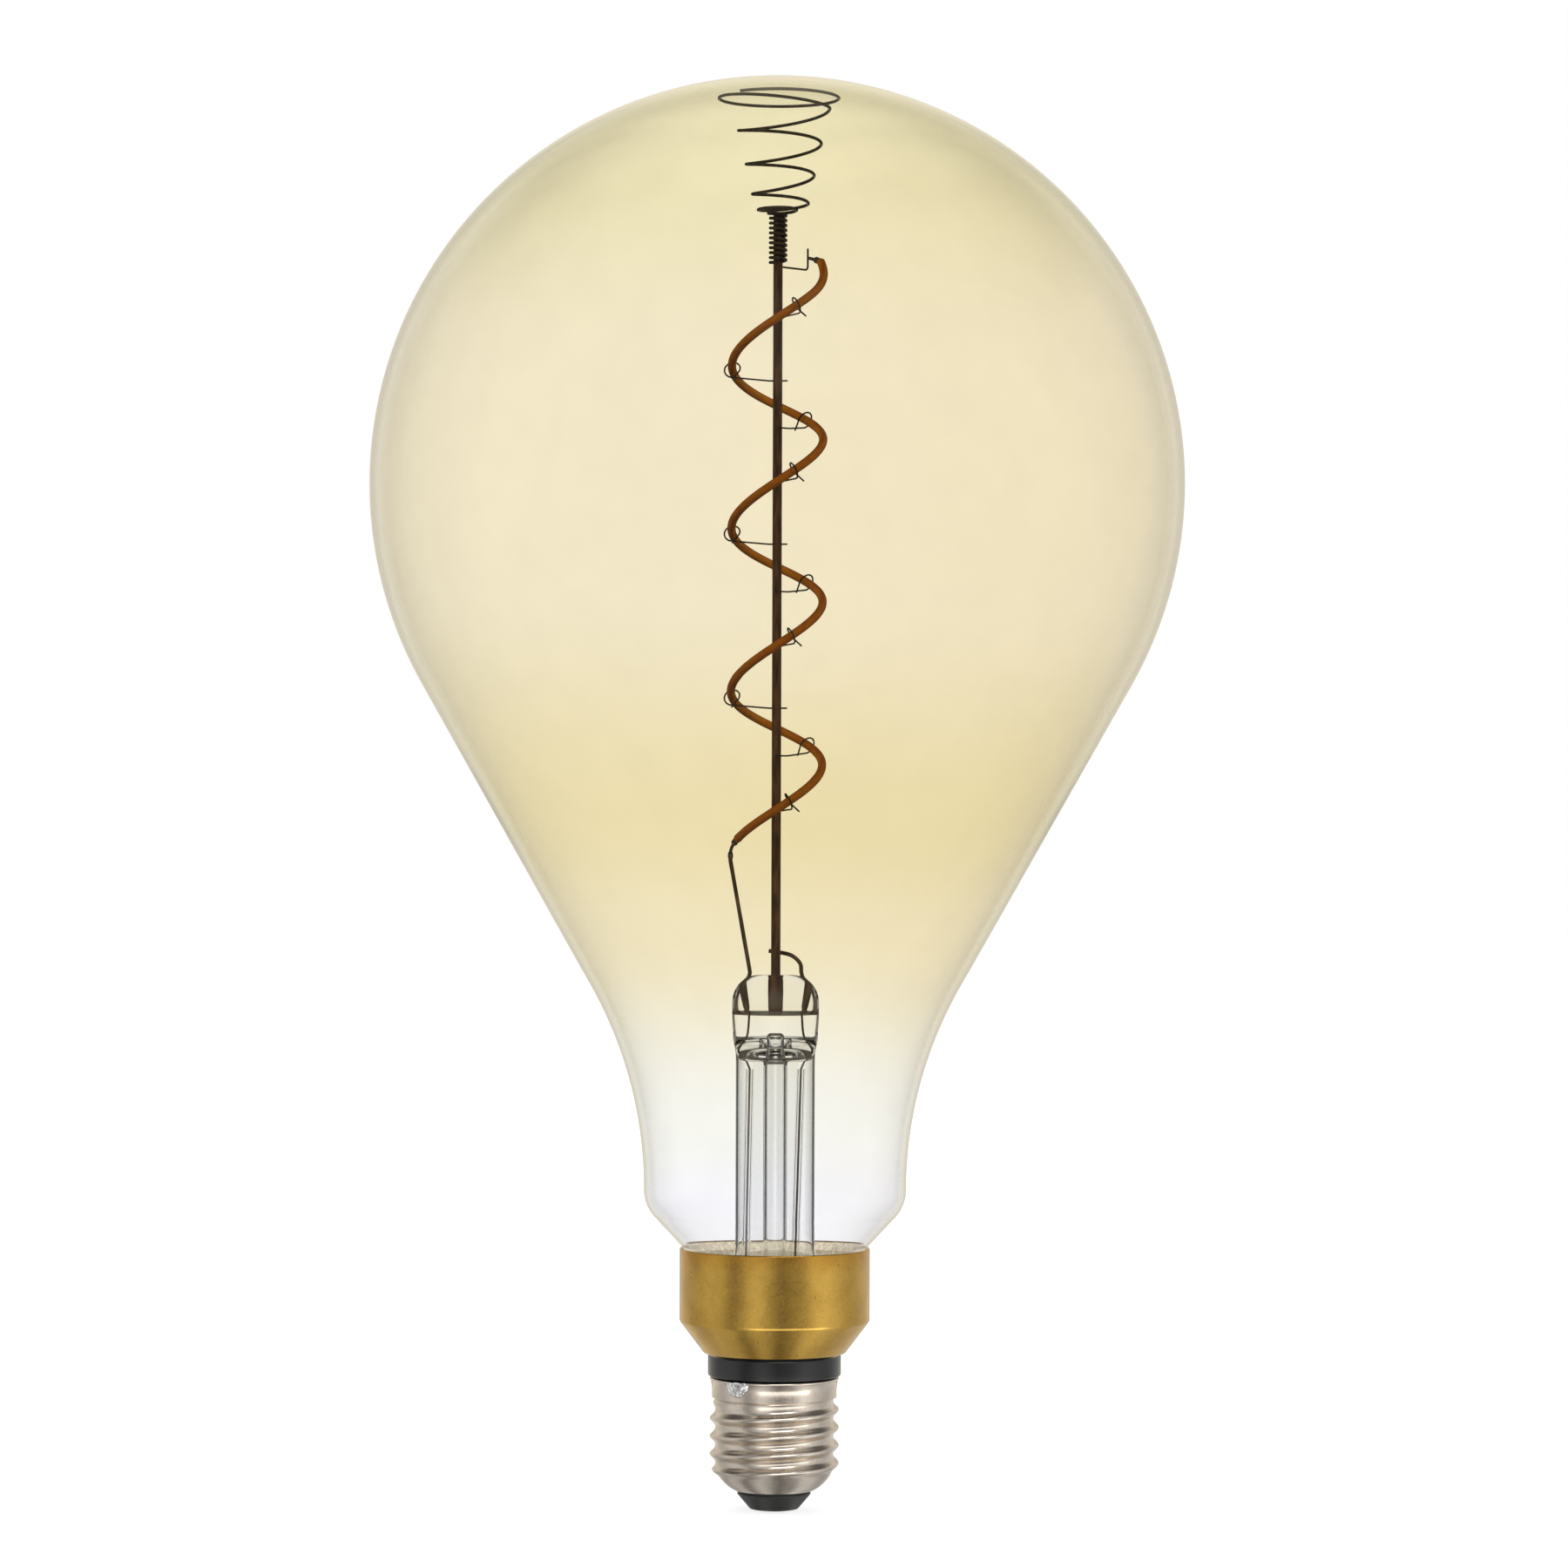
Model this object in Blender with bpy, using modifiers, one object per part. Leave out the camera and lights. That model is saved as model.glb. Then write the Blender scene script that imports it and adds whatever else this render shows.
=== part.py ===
"""Large amber filament lamp on an E27 screw cap, with a radio driver hidden in the cap.

Metres, +Z up. The origin is the middle of the centre contact's flat underside and +Z runs up the
lamp's axis to the top of the globe. The front of the lamp faces -Y.
"""

import math

import bmesh
import bpy
from mathutils import Vector

MM = 0.001

# Clearances: what meets keeps SEAT_GAP, and a wound wire keeps more than WIRE_GAP to itself.
SEAT_GAP = 0.3 * MM
WIRE_GAP = 0.42 * MM

# Glass envelope.
OVERALL_HEIGHT = 290 * MM
GLOBE_RADIUS = 82.5 * MM
GLASS_WALL = 0.9 * MM
NECK_RADIUS = 26.6 * MM
NECK_CURVE_RADIUS = 84 * MM
CONE_LEAST_LENGTH = 10 * MM
SHOULDER_RADIUS = 8 * MM
SHOULDER_ANGLE = math.radians(43)
SPIGOT_FILLET = 2 * MM
SPIGOT_LENGTH = 6 * MM

# Screw cap: centre contact, base insulator and E27 shell.
CONTACT_RADIUS = 4.2 * MM
CONTACT_THICKNESS = 0.6 * MM
CONTACT_PROUD = 0.15 * MM
EYELET_WALL = 0.5 * MM
EYELET_LENGTH = 5 * MM
INSULATOR_TIP_RADIUS = 4.9 * MM
INSULATOR_RIM_RADIUS = 7.8 * MM
INSULATOR_CONE_HEIGHT = 3.4 * MM
INSULATOR_PLUG_FLARE = 1.6 * MM
INSULATOR_PLUG_HEIGHT = 2.4 * MM
SHELL_RIM_RADIUS = 7.9 * MM
SHELL_HEIGHT = 23 * MM
SHELL_WALL = 0.4 * MM
SHELL_BAND_RADIUS = 12.65 * MM
SHELL_BAND_HEIGHT = 4.4 * MM
SHELL_BOWL_TOP_ANGLE = math.radians(20)
SHELL_BOWL_LOW_ANGLE = math.radians(65)
THREAD_ROOT_RADIUS = 12.0 * MM
THREAD_CREST_RADIUS = 13.1 * MM
THREAD_PITCH = 3.629 * MM
THREAD_CREST_AT_RIGHT = 9.4 * MM
SOLDER_WIDTH = 4.6 * MM
SOLDER_HEIGHT = 3.0 * MM
SOLDER_RISE = 0.9 * MM
SOLDER_ANGLE = math.radians(234)

# Driver housing, whose middle shows as the black ring, and the brass collar.
RING_RADIUS = 13.5 * MM
RING_HEIGHT = 4.2 * MM
HOUSING_WALL = 1.5 * MM
HOUSING_TAIL = 15.5 * MM
HOUSING_TOP = 3.2 * MM
HOUSING_LIP = 0.8 * MM
COLLAR_RADIUS = 19.3 * MM
COLLAR_WALL = 0.45 * MM
COLLAR_FOOT_RADIUS = 14.3 * MM
COLLAR_CONE_HEIGHT = 6.6 * MM
COLLAR_HEIGHT = 21.3 * MM
COLLAR_BEND_RADIUS = 1.2 * MM
CEMENT_THICKNESS = 1.4 * MM

# Glass stem: flared foot, tube, flattened press and the exhaust tube inside.
STEM_TUBE_RADIUS = 8.4 * MM
STEM_WALL = 0.9 * MM
STEM_FLARE_HEIGHT = 9 * MM
STEM_FOOT_RISE = 1.2 * MM
STEM_RISE = 55.5 * MM
PRESS_WIDTH = 17.6 * MM
PRESS_THICKNESS = 7 * MM
PRESS_HEIGHT = 15 * MM
PRESS_CORNER = 5.5 * MM
EXHAUST_RADIUS = 2.4 * MM
EXHAUST_WALL = 0.7 * MM
EXHAUST_SOCKET = 2 * MM
EXHAUST_LENGTH = 47 * MM

# Mast, support spring and jumper.
MAST_RADIUS = 0.95 * MM
MAST_EMBED = 7 * MM
SPRING_WIRE_RADIUS = 0.33 * MM
SPRING_CLOSE_TURNS = 10
SPRING_PITCH = 1.0 * MM
SPRING_FLANGE_TURNS = 1.5
SPRING_FLANGE_RISE = 2.0 * MM
SPRING_CONE_RADIUS = 5.4 * MM
SPRING_CONE_TURNS = 3
SPRING_CONE_TOP_RADIUS = 9.75 * MM
SPRING_RING_RADIUS = 12.1 * MM
SPRING_RING_TURNS = 1.3
SPRING_OPEN_HEIGHT = 23.6 * MM
SPRING_RING_DROP = 1.2 * MM
SPRING_LEAN = 0.7 * MM
SPRING_DOME_GAP = 1.4 * MM
JUMPER_RADIUS = 0.2 * MM
JUMPER_RISE = 4.4 * MM

# Filament, terminals, hooks and lead-in wires.
FILAMENT_COIL_RADIUS = 9.27 * MM
FILAMENT_RADIUS = 0.8 * MM
FILAMENT_TURNS = 3.5
FILAMENT_TOP_ANGLE = math.radians(20)
FILAMENT_TOP_DROP = 11.9 * MM
FILAMENT_FOOT_RISE = 27.1 * MM
FILAMENT_END_LIFT = 1.6 * MM
FILAMENT_LIFT_ANGLE = math.radians(60)
FILAMENT_TILT = 0.09
FILAMENT_END_SLOPE = 0.3
TERMINAL_CRIMP_RADIUS = 0.65 * MM
TERMINAL_TAIL_RADIUS = 0.35 * MM
UPPER_TERMINAL_LENGTH = 4.6 * MM
LOWER_TERMINAL_LENGTH = 2.6 * MM
HOOK_COUNT = 10
HOOK_END_ANGLE = math.radians(86)
HOOK_WIRE_RADIUS = 0.17 * MM
HOOK_STUB = 0.9 * MM
HOOK_DROP = 0.6 * MM
HOOK_TAIL = 1.2 * MM
LEAD_RADIUS = 0.42 * MM
LEAD_THIN_RADIUS = 0.22 * MM
LEAD_SPREAD = 5.2 * MM
LEAD_LEFT_FOOT = 6.0 * MM
LEAD_RIGHT_FOOT = 3.9 * MM
LEAD_EMBED = 7.5 * MM
LEAD_WELD_RISE = 4.6 * MM
LEAD_STUB = 1.4 * MM
SLEEVE_WALL = 0.35 * MM
SLEEVE_DROP = 4 * MM

# Driver board and what sits on it, each as (width, depth off the board, height).
BOARD_THICKNESS = 1.0 * MM
BOARD_HEIGHT = 29 * MM
BOARD_LIFT = 1.5 * MM
SUPPLY_WIRE_RADIUS = 0.3 * MM
CAPACITOR_RADIUS = 3.1 * MM
CAPACITOR_HEIGHT = 11 * MM
INDUCTOR_RADIUS = 2.6 * MM
INDUCTOR_HEIGHT = 6 * MM
RESISTOR_RADIUS = 1.1 * MM
RESISTOR_LENGTH = 6.5 * MM
RECTIFIER_SIZE = (4.7 * MM, 2.4 * MM, 3.9 * MM)
CHIP_SIZE = (4.9 * MM, 1.5 * MM, 3.9 * MM)
RADIO_SIZE = (10 * MM, 0.8 * MM, 11 * MM)
SHIELD_SIZE = (8 * MM, 1.6 * MM, 7 * MM)
PART_MARGIN = 1.2 * MM
PART_COLUMN = 4.6 * MM

# How finely round shapes are cut, and the angle past which an edge stays sharp.
SHARP_ANGLE = math.radians(35)
GLOBE_STEPS = 36
ROUND_STEPS = 28
SMALL_STEPS = 16
ROWS_PER_PITCH = 6
CURL_POINTS = 10
LOOP_POINTS = 24

# Heights, stacked from the centre contact up.
insulator_tip_z = CONTACT_PROUD
insulator_rim_z = insulator_tip_z + INSULATOR_CONE_HEIGHT
shell_low_z = insulator_rim_z + SEAT_GAP
shell_top_z = shell_low_z + SHELL_HEIGHT
ring_low_z = shell_top_z + SEAT_GAP
ring_top_z = ring_low_z + RING_HEIGHT
collar_low_z = ring_top_z + SEAT_GAP
collar_top_z = collar_low_z + COLLAR_HEIGHT
stem_top_z = collar_top_z + STEM_RISE
press_low_z = stem_top_z - PRESS_HEIGHT

# Radii that follow from a neighbour.
shell_bore_radius = min(THREAD_ROOT_RADIUS, SHELL_BAND_RADIUS) - SHELL_WALL
housing_tail_radius = shell_bore_radius - SEAT_GAP
housing_bore_radius = housing_tail_radius - HOUSING_WALL
collar_inner_radius = COLLAR_RADIUS - COLLAR_WALL
collar_hole_radius = housing_tail_radius + SEAT_GAP
rim_glass_radius = collar_inner_radius - SEAT_GAP
spigot_radius = rim_glass_radius - CEMENT_THICKNESS - SEAT_GAP

# The board stands behind the live wire, which runs up the axis.
board_back_y = -SUPPLY_WIRE_RADIUS - SEAT_GAP
board_front_y = board_back_y - BOARD_THICKNESS
board_low_z = ring_low_z - HOUSING_TAIL + BOARD_LIFT
board_top_z = board_low_z + BOARD_HEIGHT

# Glass outline: the sloping shoulder meets the collar's rim, and the neck curve starts above it.
shoulder_end_radius = NECK_RADIUS - SHOULDER_RADIUS * (1 - math.cos(SHOULDER_ANGLE))
shoulder_run = (shoulder_end_radius - rim_glass_radius) / math.tan(SHOULDER_ANGLE)
neck_low_z = collar_top_z + shoulder_run + SHOULDER_RADIUS * math.sin(SHOULDER_ANGLE)
fillet_start_radius = spigot_radius + SPIGOT_FILLET * (1 - math.cos(SHOULDER_ANGLE))
fillet_start_z = collar_top_z - (rim_glass_radius - fillet_start_radius) / math.tan(SHOULDER_ANGLE)
spigot_top_z = fillet_start_z - SPIGOT_FILLET * math.sin(SHOULDER_ANGLE)
spigot_low_z = spigot_top_z - SPIGOT_LENGTH
globe_z = OVERALL_HEIGHT - GLOBE_RADIUS
globe_over_neck = globe_z - neck_low_z

# The neck curve is limited so that a straight stretch of cone is left between it and the globe.
cone_room = globe_over_neck**2 + NECK_RADIUS**2 - GLOBE_RADIUS**2 - CONE_LEAST_LENGTH**2
neck_curve_radius = min(NECK_CURVE_RADIUS, cone_room / (2 * (GLOBE_RADIUS - NECK_RADIUS)))

# Spring, mast and filament hang from the dome; the filament's pitch fills what is left.
spring_growth = (SPRING_CONE_TOP_RADIUS / SPRING_CONE_RADIUS) ** (1 / SPRING_CONE_TURNS)
spring_coil_radius = MAST_RADIUS + SEAT_GAP + SPRING_WIRE_RADIUS
dome_inner_radius = GLOBE_RADIUS - GLASS_WALL
ring_outer_radius = SPRING_RING_RADIUS + 2 * SPRING_WIRE_RADIUS
dome_over_ring_z = globe_z + math.sqrt(dome_inner_radius**2 - ring_outer_radius**2)
spring_top_z = dome_over_ring_z - SPRING_DOME_GAP - SPRING_WIRE_RADIUS
mast_top_z = spring_top_z - SPRING_OPEN_HEIGHT
mast_low_z = stem_top_z - MAST_EMBED
spring_low_z = mast_top_z - SPRING_CLOSE_TURNS * SPRING_PITCH
filament_top_z = mast_top_z - FILAMENT_TOP_DROP
filament_low_z = stem_top_z + FILAMENT_FOOT_RISE
filament_pitch = (filament_top_z - filament_low_z) / FILAMENT_TURNS
filament_low_angle = FILAMENT_TOP_ANGLE - FILAMENT_TURNS * math.tau

for old_object in list(bpy.data.objects):
    bpy.data.objects.remove(old_object, do_unlink=True)


def new_collection(name):
    collection = bpy.data.collections.new(name)
    bpy.context.scene.collection.children.link(collection)
    return collection


lamp_parts = new_collection("filament_lamp")
lamp_cutters = new_collection("filament_lamp_cutters")
lamp_root = bpy.data.objects.new("lamp_origin", None)
lamp_parts.objects.link(lamp_root)


def material(name, colour, roughness, metallic=0.0, transmission=0.0):
    """A plain Principled material, its colour given as linear RGB."""
    made = bpy.data.materials.new(name)
    made.use_nodes = True
    shader = made.node_tree.nodes["Principled BSDF"]
    shader.inputs["Base Color"].default_value = (*colour, 1.0)
    shader.inputs["Roughness"].default_value = roughness
    shader.inputs["Metallic"].default_value = metallic
    shader.inputs["Transmission Weight"].default_value = transmission
    made.diffuse_color = (*colour, 1.0)
    return made


def dark_wire(name):
    """The look of the oxidised steel wires that hold and feed the filament."""
    return material(name, (0.032, 0.022, 0.014), 0.4, 0.6)


def add_part(name, data, look):
    """A named sub-part of the lamp, parented to the empty at the origin."""
    obj = bpy.data.objects.new(name, data)
    data.materials.append(look)
    if isinstance(data, bpy.types.Mesh) and data.polygons:
        data.shade_smooth()
        data.set_sharp_from_angle(angle=SHARP_ANGLE)
    lamp_parts.objects.link(obj)
    obj.parent = lamp_root
    return obj


def arc(centre, radius, start, end, count):
    """Points (r, z) along an arc, ends included; angles are measured from +r towards +z."""
    angles = [start + (end - start) * i / count for i in range(count + 1)]
    return [(centre[0] + radius * math.cos(a), centre[1] + radius * math.sin(a)) for a in angles]


def profile_mesh(name, profile):
    """The profile as edges in the XZ plane: a loop, or a line where both ends are on the axis."""
    on_axis = profile[0][0] == 0 and profile[-1][0] == 0
    edges = [(i, i + 1) for i in range(len(profile) - 1)]
    if not on_axis:
        edges.append((len(profile) - 1, 0))
    mesh = bpy.data.meshes.new(name)
    mesh.from_pydata([(r, 0, z) for r, z in profile], edges, [])
    return mesh


def turned(name, profile, look, steps=ROUND_STEPS):
    """A shape turned about Z from a profile that runs down its outer side."""
    obj = add_part(name, profile_mesh(name, profile), look)
    screw = obj.modifiers.new("Turn", "SCREW")
    screw.steps = steps
    screw.render_steps = steps
    screw.use_smooth_shade = True
    screw.use_merge_vertices = True
    screw.merge_threshold = 0.005 * MM
    return obj


def block(name, size, centre, look):
    """A box of the given (x, y, z) size."""
    made = bmesh.new()
    bmesh.ops.create_cube(made, size=1.0)
    bmesh.ops.scale(made, vec=size, verts=made.verts)
    mesh = bpy.data.meshes.new(name)
    made.to_mesh(mesh)
    made.free()
    obj = add_part(name, mesh, look)
    obj.location = centre
    return obj


def wire(name, points, radius, look, shares=None, resolution=1):
    """A round wire through the points; shares scale its radius point by point."""
    curve = bpy.data.curves.new(name, "CURVE")
    curve.dimensions = "3D"
    curve.bevel_depth = radius
    curve.bevel_resolution = resolution
    curve.use_fill_caps = True
    spline = curve.splines.new("POLY")
    spline.points.add(len(points) - 1)
    for i, point in enumerate(points):
        spline.points[i].co = (*point, 1.0)
        spline.points[i].radius = shares[i] if shares else 1.0
    return add_part(name, curve, look)


def least_gap(points, radius, apart):
    """The least gap between stretches of one tube that lie further apart along it than apart."""
    fine = [points[0]]
    for start, end in zip(points, points[1:]):
        steps = math.ceil((end - start).length / radius)
        fine += [start.lerp(end, (i + 1) / steps) for i in range(steps)]
    run = [0.0]
    for start, end in zip(fine, fine[1:]):
        run.append(run[-1] + (end - start).length)
    nearest = min(
        (a - b).length
        for i, a in enumerate(fine)
        for j, b in enumerate(fine[i + 1 :], i + 1)
        if run[j] - run[i] > apart
    )
    return nearest - 2 * radius


def smooth_path(knots, per_span=5):
    """Points on a smooth curve through the knots, at per_span points from each to the next."""
    knots = [Vector(knot) for knot in knots]
    ends = [2 * knots[0] - knots[1], *knots, 2 * knots[-1] - knots[-2]]
    path = []
    for before, start, end, after in zip(ends, ends[1:], ends[2:], ends[3:]):
        for i in range(per_span):
            t = i / per_span
            leave = (end - before) / 2
            arrive = (after - start) / 2
            path.append(
                start * (2 * t**3 - 3 * t**2 + 1)
                + leave * (t**3 - 2 * t**2 + t)
                + end * (3 * t**2 - 2 * t**3)
                + arrive * (t**3 - t**2)
            )
    return [*path, knots[-1]]


def cutter(name, mesh):
    """A helper that Booleans cut with: in its own collection, never rendered."""
    obj = bpy.data.objects.new(name, mesh)
    obj.hide_render = True
    obj.display_type = "WIRE"
    lamp_cutters.objects.link(obj)
    obj.parent = lamp_root
    return obj


def cut(obj, tool):
    boolean = obj.modifiers.new(tool.name, "BOOLEAN")
    boolean.operation = "DIFFERENCE"
    boolean.solver = "EXACT"
    boolean.object = tool


def cylinder_mesh(name, radius, low, high, centre=(0.0, 0.0), steps=SMALL_STEPS):
    """An upright capped cylinder from height low to height high."""
    made = bmesh.new()
    bmesh.ops.create_cone(
        made, cap_ends=True, segments=steps, radius1=radius, radius2=radius, depth=high - low
    )
    bmesh.ops.translate(made, vec=(*centre, (low + high) / 2), verts=made.verts)
    mesh = bpy.data.meshes.new(name)
    made.to_mesh(mesh)
    made.free()
    return mesh


def loft_mesh(name, sections):
    """A closed solid skinned through rings of points that go up the lamp."""
    made = bmesh.new()
    loops = []
    for section in sections:
        ring = [made.verts.new(point) for point in section]
        loops.append([made.edges.new((ring[i - 1], ring[i])) for i in range(len(ring))])
    for low, high in zip(loops, loops[1:]):
        bmesh.ops.bridge_loops(made, edges=low + high)
    for end in (loops[0], loops[-1]):
        bmesh.ops.contextual_create(made, geom=end)
    bmesh.ops.recalc_face_normals(made, faces=made.faces)
    mesh = bpy.data.meshes.new(name)
    made.to_mesh(mesh)
    made.free()
    return mesh


def oval(z, half_width, half_depth, steps=ROUND_STEPS):
    """An oval ring of points at height z."""
    angles = [math.tau * i / steps for i in range(steps)]
    return [(half_width * math.cos(a), half_depth * math.sin(a), z) for a in angles]


def cone_angle():
    """Slope of the straight cone that touches both the globe and the neck curve."""
    across = NECK_RADIUS + neck_curve_radius
    apart = math.hypot(across, globe_over_neck)
    reach = math.acos((GLOBE_RADIUS + neck_curve_radius) / apart)
    return math.atan2(globe_over_neck, across) - reach


def envelope_outline(inset):
    """The glass surface from the top of the dome to the end of the neck, inset into the wall."""
    slope = cone_angle()
    neck_curve = (NECK_RADIUS + neck_curve_radius, neck_low_z)
    shoulder = (NECK_RADIUS - SHOULDER_RADIUS, neck_low_z)
    fillet = (spigot_radius + SPIGOT_FILLET, spigot_top_z)
    dome = arc((0, globe_z), GLOBE_RADIUS - inset, math.pi / 2, -slope, 13)
    return [
        (0.0, dome[0][1]),
        *dome[1:],
        *arc(neck_curve, neck_curve_radius + inset, math.pi - slope, math.pi, 6),
        *arc(shoulder, SHOULDER_RADIUS - inset, 0, -SHOULDER_ANGLE, 4)[1:],
        *arc(fillet, SPIGOT_FILLET + inset, math.pi - SHOULDER_ANGLE, math.pi, 2),
        (spigot_radius - inset, spigot_low_z),
    ]


def make_envelope():
    glass = material("amber_glass", (0.85, 0.72, 0.42), 0.02, transmission=1.0)
    profile = envelope_outline(0) + envelope_outline(GLASS_WALL)[::-1]
    turned("glass_envelope", profile, glass, GLOBE_STEPS)


def make_centre_contact():
    brass = material("contact_brass", (0.62, 0.46, 0.20), 0.35, 1.0)
    bore = SUPPLY_WIRE_RADIUS + SEAT_GAP
    eyelet = bore + EYELET_WALL
    top = CONTACT_THICKNESS + EYELET_LENGTH
    profile = [
        (0, CONTACT_THICKNESS),
        (bore, CONTACT_THICKNESS),
        (bore, top),
        (eyelet, top),
        (eyelet, CONTACT_THICKNESS),
        (CONTACT_RADIUS, CONTACT_THICKNESS),
        (CONTACT_RADIUS, 0),
        (0, 0),
    ]
    turned("centre_contact", profile, brass, SMALL_STEPS)


def make_base_insulator():
    black = material("insulator_black", (0.048, 0.048, 0.043), 0.55)
    hole = SUPPLY_WIRE_RADIUS + EYELET_WALL + 2 * SEAT_GAP
    recess_radius = CONTACT_RADIUS + SEAT_GAP
    recess_top = CONTACT_THICKNESS + SEAT_GAP
    throat = SHELL_RIM_RADIUS - SHELL_WALL - SEAT_GAP
    plug_low = shell_low_z + SEAT_GAP
    plug_radius = throat + INSULATOR_PLUG_FLARE
    plug_top = plug_low + INSULATOR_PLUG_FLARE + INSULATOR_PLUG_HEIGHT
    profile = [
        (plug_radius, plug_top),
        (plug_radius, plug_low + INSULATOR_PLUG_FLARE),
        (throat, plug_low),
        (throat, insulator_rim_z),
        (INSULATOR_RIM_RADIUS, insulator_rim_z),
        (INSULATOR_TIP_RADIUS, insulator_tip_z),
        (recess_radius, insulator_tip_z),
        (recess_radius, recess_top),
        (hole, recess_top),
        (hole, plug_top),
    ]
    turned("base_insulator", profile, black)


def thread_rise(angle, z, low, high):
    """Height of the rolled right-hand thread above its root, running out over half a pitch."""
    turn = (z - THREAD_CREST_AT_RIGHT) / THREAD_PITCH - angle / math.tau
    wave = (0.5 + 0.5 * math.cos(math.tau * turn)) ** 1.5
    run_out = min(1, (z - low) / (THREAD_PITCH / 2), (high - z) / (THREAD_PITCH / 2))
    return (THREAD_CREST_RADIUS - THREAD_ROOT_RADIUS) * wave * max(0, run_out)


def make_screw_shell():
    nickel = material("shell_nickel", (0.42, 0.38, 0.33), 0.3, 1.0)
    edge = SHELL_WALL / 2
    top_angle = -SHELL_BOWL_TOP_ANGLE
    low_angle = -SHELL_BOWL_LOW_ANGLE
    bowl_reach = math.cos(top_angle) - math.cos(low_angle)
    bowl_radius = (THREAD_ROOT_RADIUS - SHELL_RIM_RADIUS) / bowl_reach
    bowl_z = shell_low_z - bowl_radius * math.sin(low_angle)
    bowl_top = bowl_z + bowl_radius * math.sin(top_angle)
    bowl = (THREAD_ROOT_RADIUS - bowl_radius * math.cos(top_angle), bowl_z)
    thread_high = shell_top_z - SHELL_BAND_HEIGHT
    thread_low = bowl_top - THREAD_PITCH / 2
    rows = max(2, round((thread_high - bowl_top) / THREAD_PITCH * ROWS_PER_PITCH))
    row_step = (thread_high - bowl_top) / rows
    outer = [
        (SHELL_BAND_RADIUS - edge, shell_top_z),
        (SHELL_BAND_RADIUS, shell_top_z - edge),
        (SHELL_BAND_RADIUS, thread_high + row_step / 2),
        *[(THREAD_ROOT_RADIUS, thread_high - row_step * i) for i in range(rows)],
        *arc(bowl, bowl_radius, top_angle, low_angle, 6),
    ]
    inner = [
        (SHELL_RIM_RADIUS - SHELL_WALL, shell_low_z),
        *arc(bowl, bowl_radius - SHELL_WALL, low_angle, top_angle, 4),
        (shell_bore_radius, shell_top_z),
    ]
    made = bmesh.new()
    corners = [made.verts.new((r, 0, z)) for r, z in outer + inner]
    loop = [made.edges.new((corners[i - 1], corners[i])) for i in range(len(corners))]
    bmesh.ops.spin(
        made,
        geom=corners + loop,
        axis=(0, 0, 1),
        cent=(0, 0, 0),
        angle=math.tau,
        steps=ROUND_STEPS,
        use_merge=True,
    )
    bmesh.ops.remove_doubles(made, verts=made.verts, dist=0.005 * MM)
    bmesh.ops.recalc_face_normals(made, faces=made.faces)
    for vert in made.verts:
        radius = math.hypot(vert.co.x, vert.co.y)
        threaded = thread_low < vert.co.z < thread_high + row_step / 4
        if threaded and radius > shell_bore_radius + edge:
            angle = math.atan2(vert.co.y, vert.co.x)
            grown = 1 + thread_rise(angle, vert.co.z, thread_low, thread_high) / radius
            vert.co.x *= grown
            vert.co.y *= grown
    mesh = bpy.data.meshes.new("screw_shell")
    made.to_mesh(mesh)
    made.free()
    add_part("screw_shell", mesh, nickel)


def make_shell_solder():
    tin = material("solder_tin", (0.62, 0.60, 0.56), 0.25, 1.0)
    seat_radius = SHELL_BAND_RADIUS + SEAT_GAP
    made = bmesh.new()
    bmesh.ops.create_uvsphere(made, u_segments=SMALL_STEPS, v_segments=8, radius=1.0)
    bmesh.ops.scale(made, vec=(SOLDER_RISE, SOLDER_WIDTH / 2, SOLDER_HEIGHT / 2), verts=made.verts)
    mesh = bpy.data.meshes.new("shell_solder")
    made.to_mesh(mesh)
    made.free()
    obj = add_part("shell_solder", mesh, tin)
    across = Vector((math.cos(SOLDER_ANGLE), math.sin(SOLDER_ANGLE), 0))
    obj.location = across * seat_radius + Vector((0, 0, shell_top_z - SOLDER_HEIGHT / 2))
    obj.rotation_euler.z = SOLDER_ANGLE
    seat = cylinder_mesh("solder_seat", seat_radius, shell_low_z, ring_top_z, steps=96)
    cut(obj, cutter("solder_seat", seat))


def make_driver_housing():
    black = material("housing_black", (0.028, 0.027, 0.028), 0.35)
    top = ring_top_z + 2 * SEAT_GAP + COLLAR_WALL + HOUSING_TOP
    lip_low = collar_low_z + COLLAR_WALL + SEAT_GAP
    lip_radius = housing_tail_radius + HOUSING_LIP
    tail_low = ring_low_z - HOUSING_TAIL
    round_off = SEAT_GAP
    profile = [
        (housing_tail_radius, top),
        (lip_radius, (top + lip_low) / 2),
        (lip_radius, lip_low),
        (housing_tail_radius, lip_low),
        (housing_tail_radius, ring_top_z),
        (RING_RADIUS - round_off, ring_top_z),
        (RING_RADIUS, ring_top_z - round_off),
        (RING_RADIUS, ring_low_z + round_off),
        (RING_RADIUS - round_off, ring_low_z),
        (housing_tail_radius, ring_low_z),
        (housing_tail_radius, tail_low),
        (housing_bore_radius, tail_low),
        (housing_bore_radius, top),
    ]
    obj = turned("driver_housing", profile, black)
    slot_size = 2 * (SUPPLY_WIRE_RADIUS + SEAT_GAP)
    made = bmesh.new()
    bmesh.ops.create_cube(made, size=1.0)
    bmesh.ops.scale(made, vec=(RING_RADIUS, slot_size, 2 * slot_size), verts=made.verts)
    mesh = bpy.data.meshes.new("neutral_slot")
    made.to_mesh(mesh)
    made.free()
    slot = cutter("neutral_slot", mesh)
    slot.location = (
        RING_RADIUS * math.cos(SOLDER_ANGLE),
        RING_RADIUS * math.sin(SOLDER_ANGLE),
        ring_low_z,
    )
    slot.rotation_euler.z = SOLDER_ANGLE
    cut(obj, slot)


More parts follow.
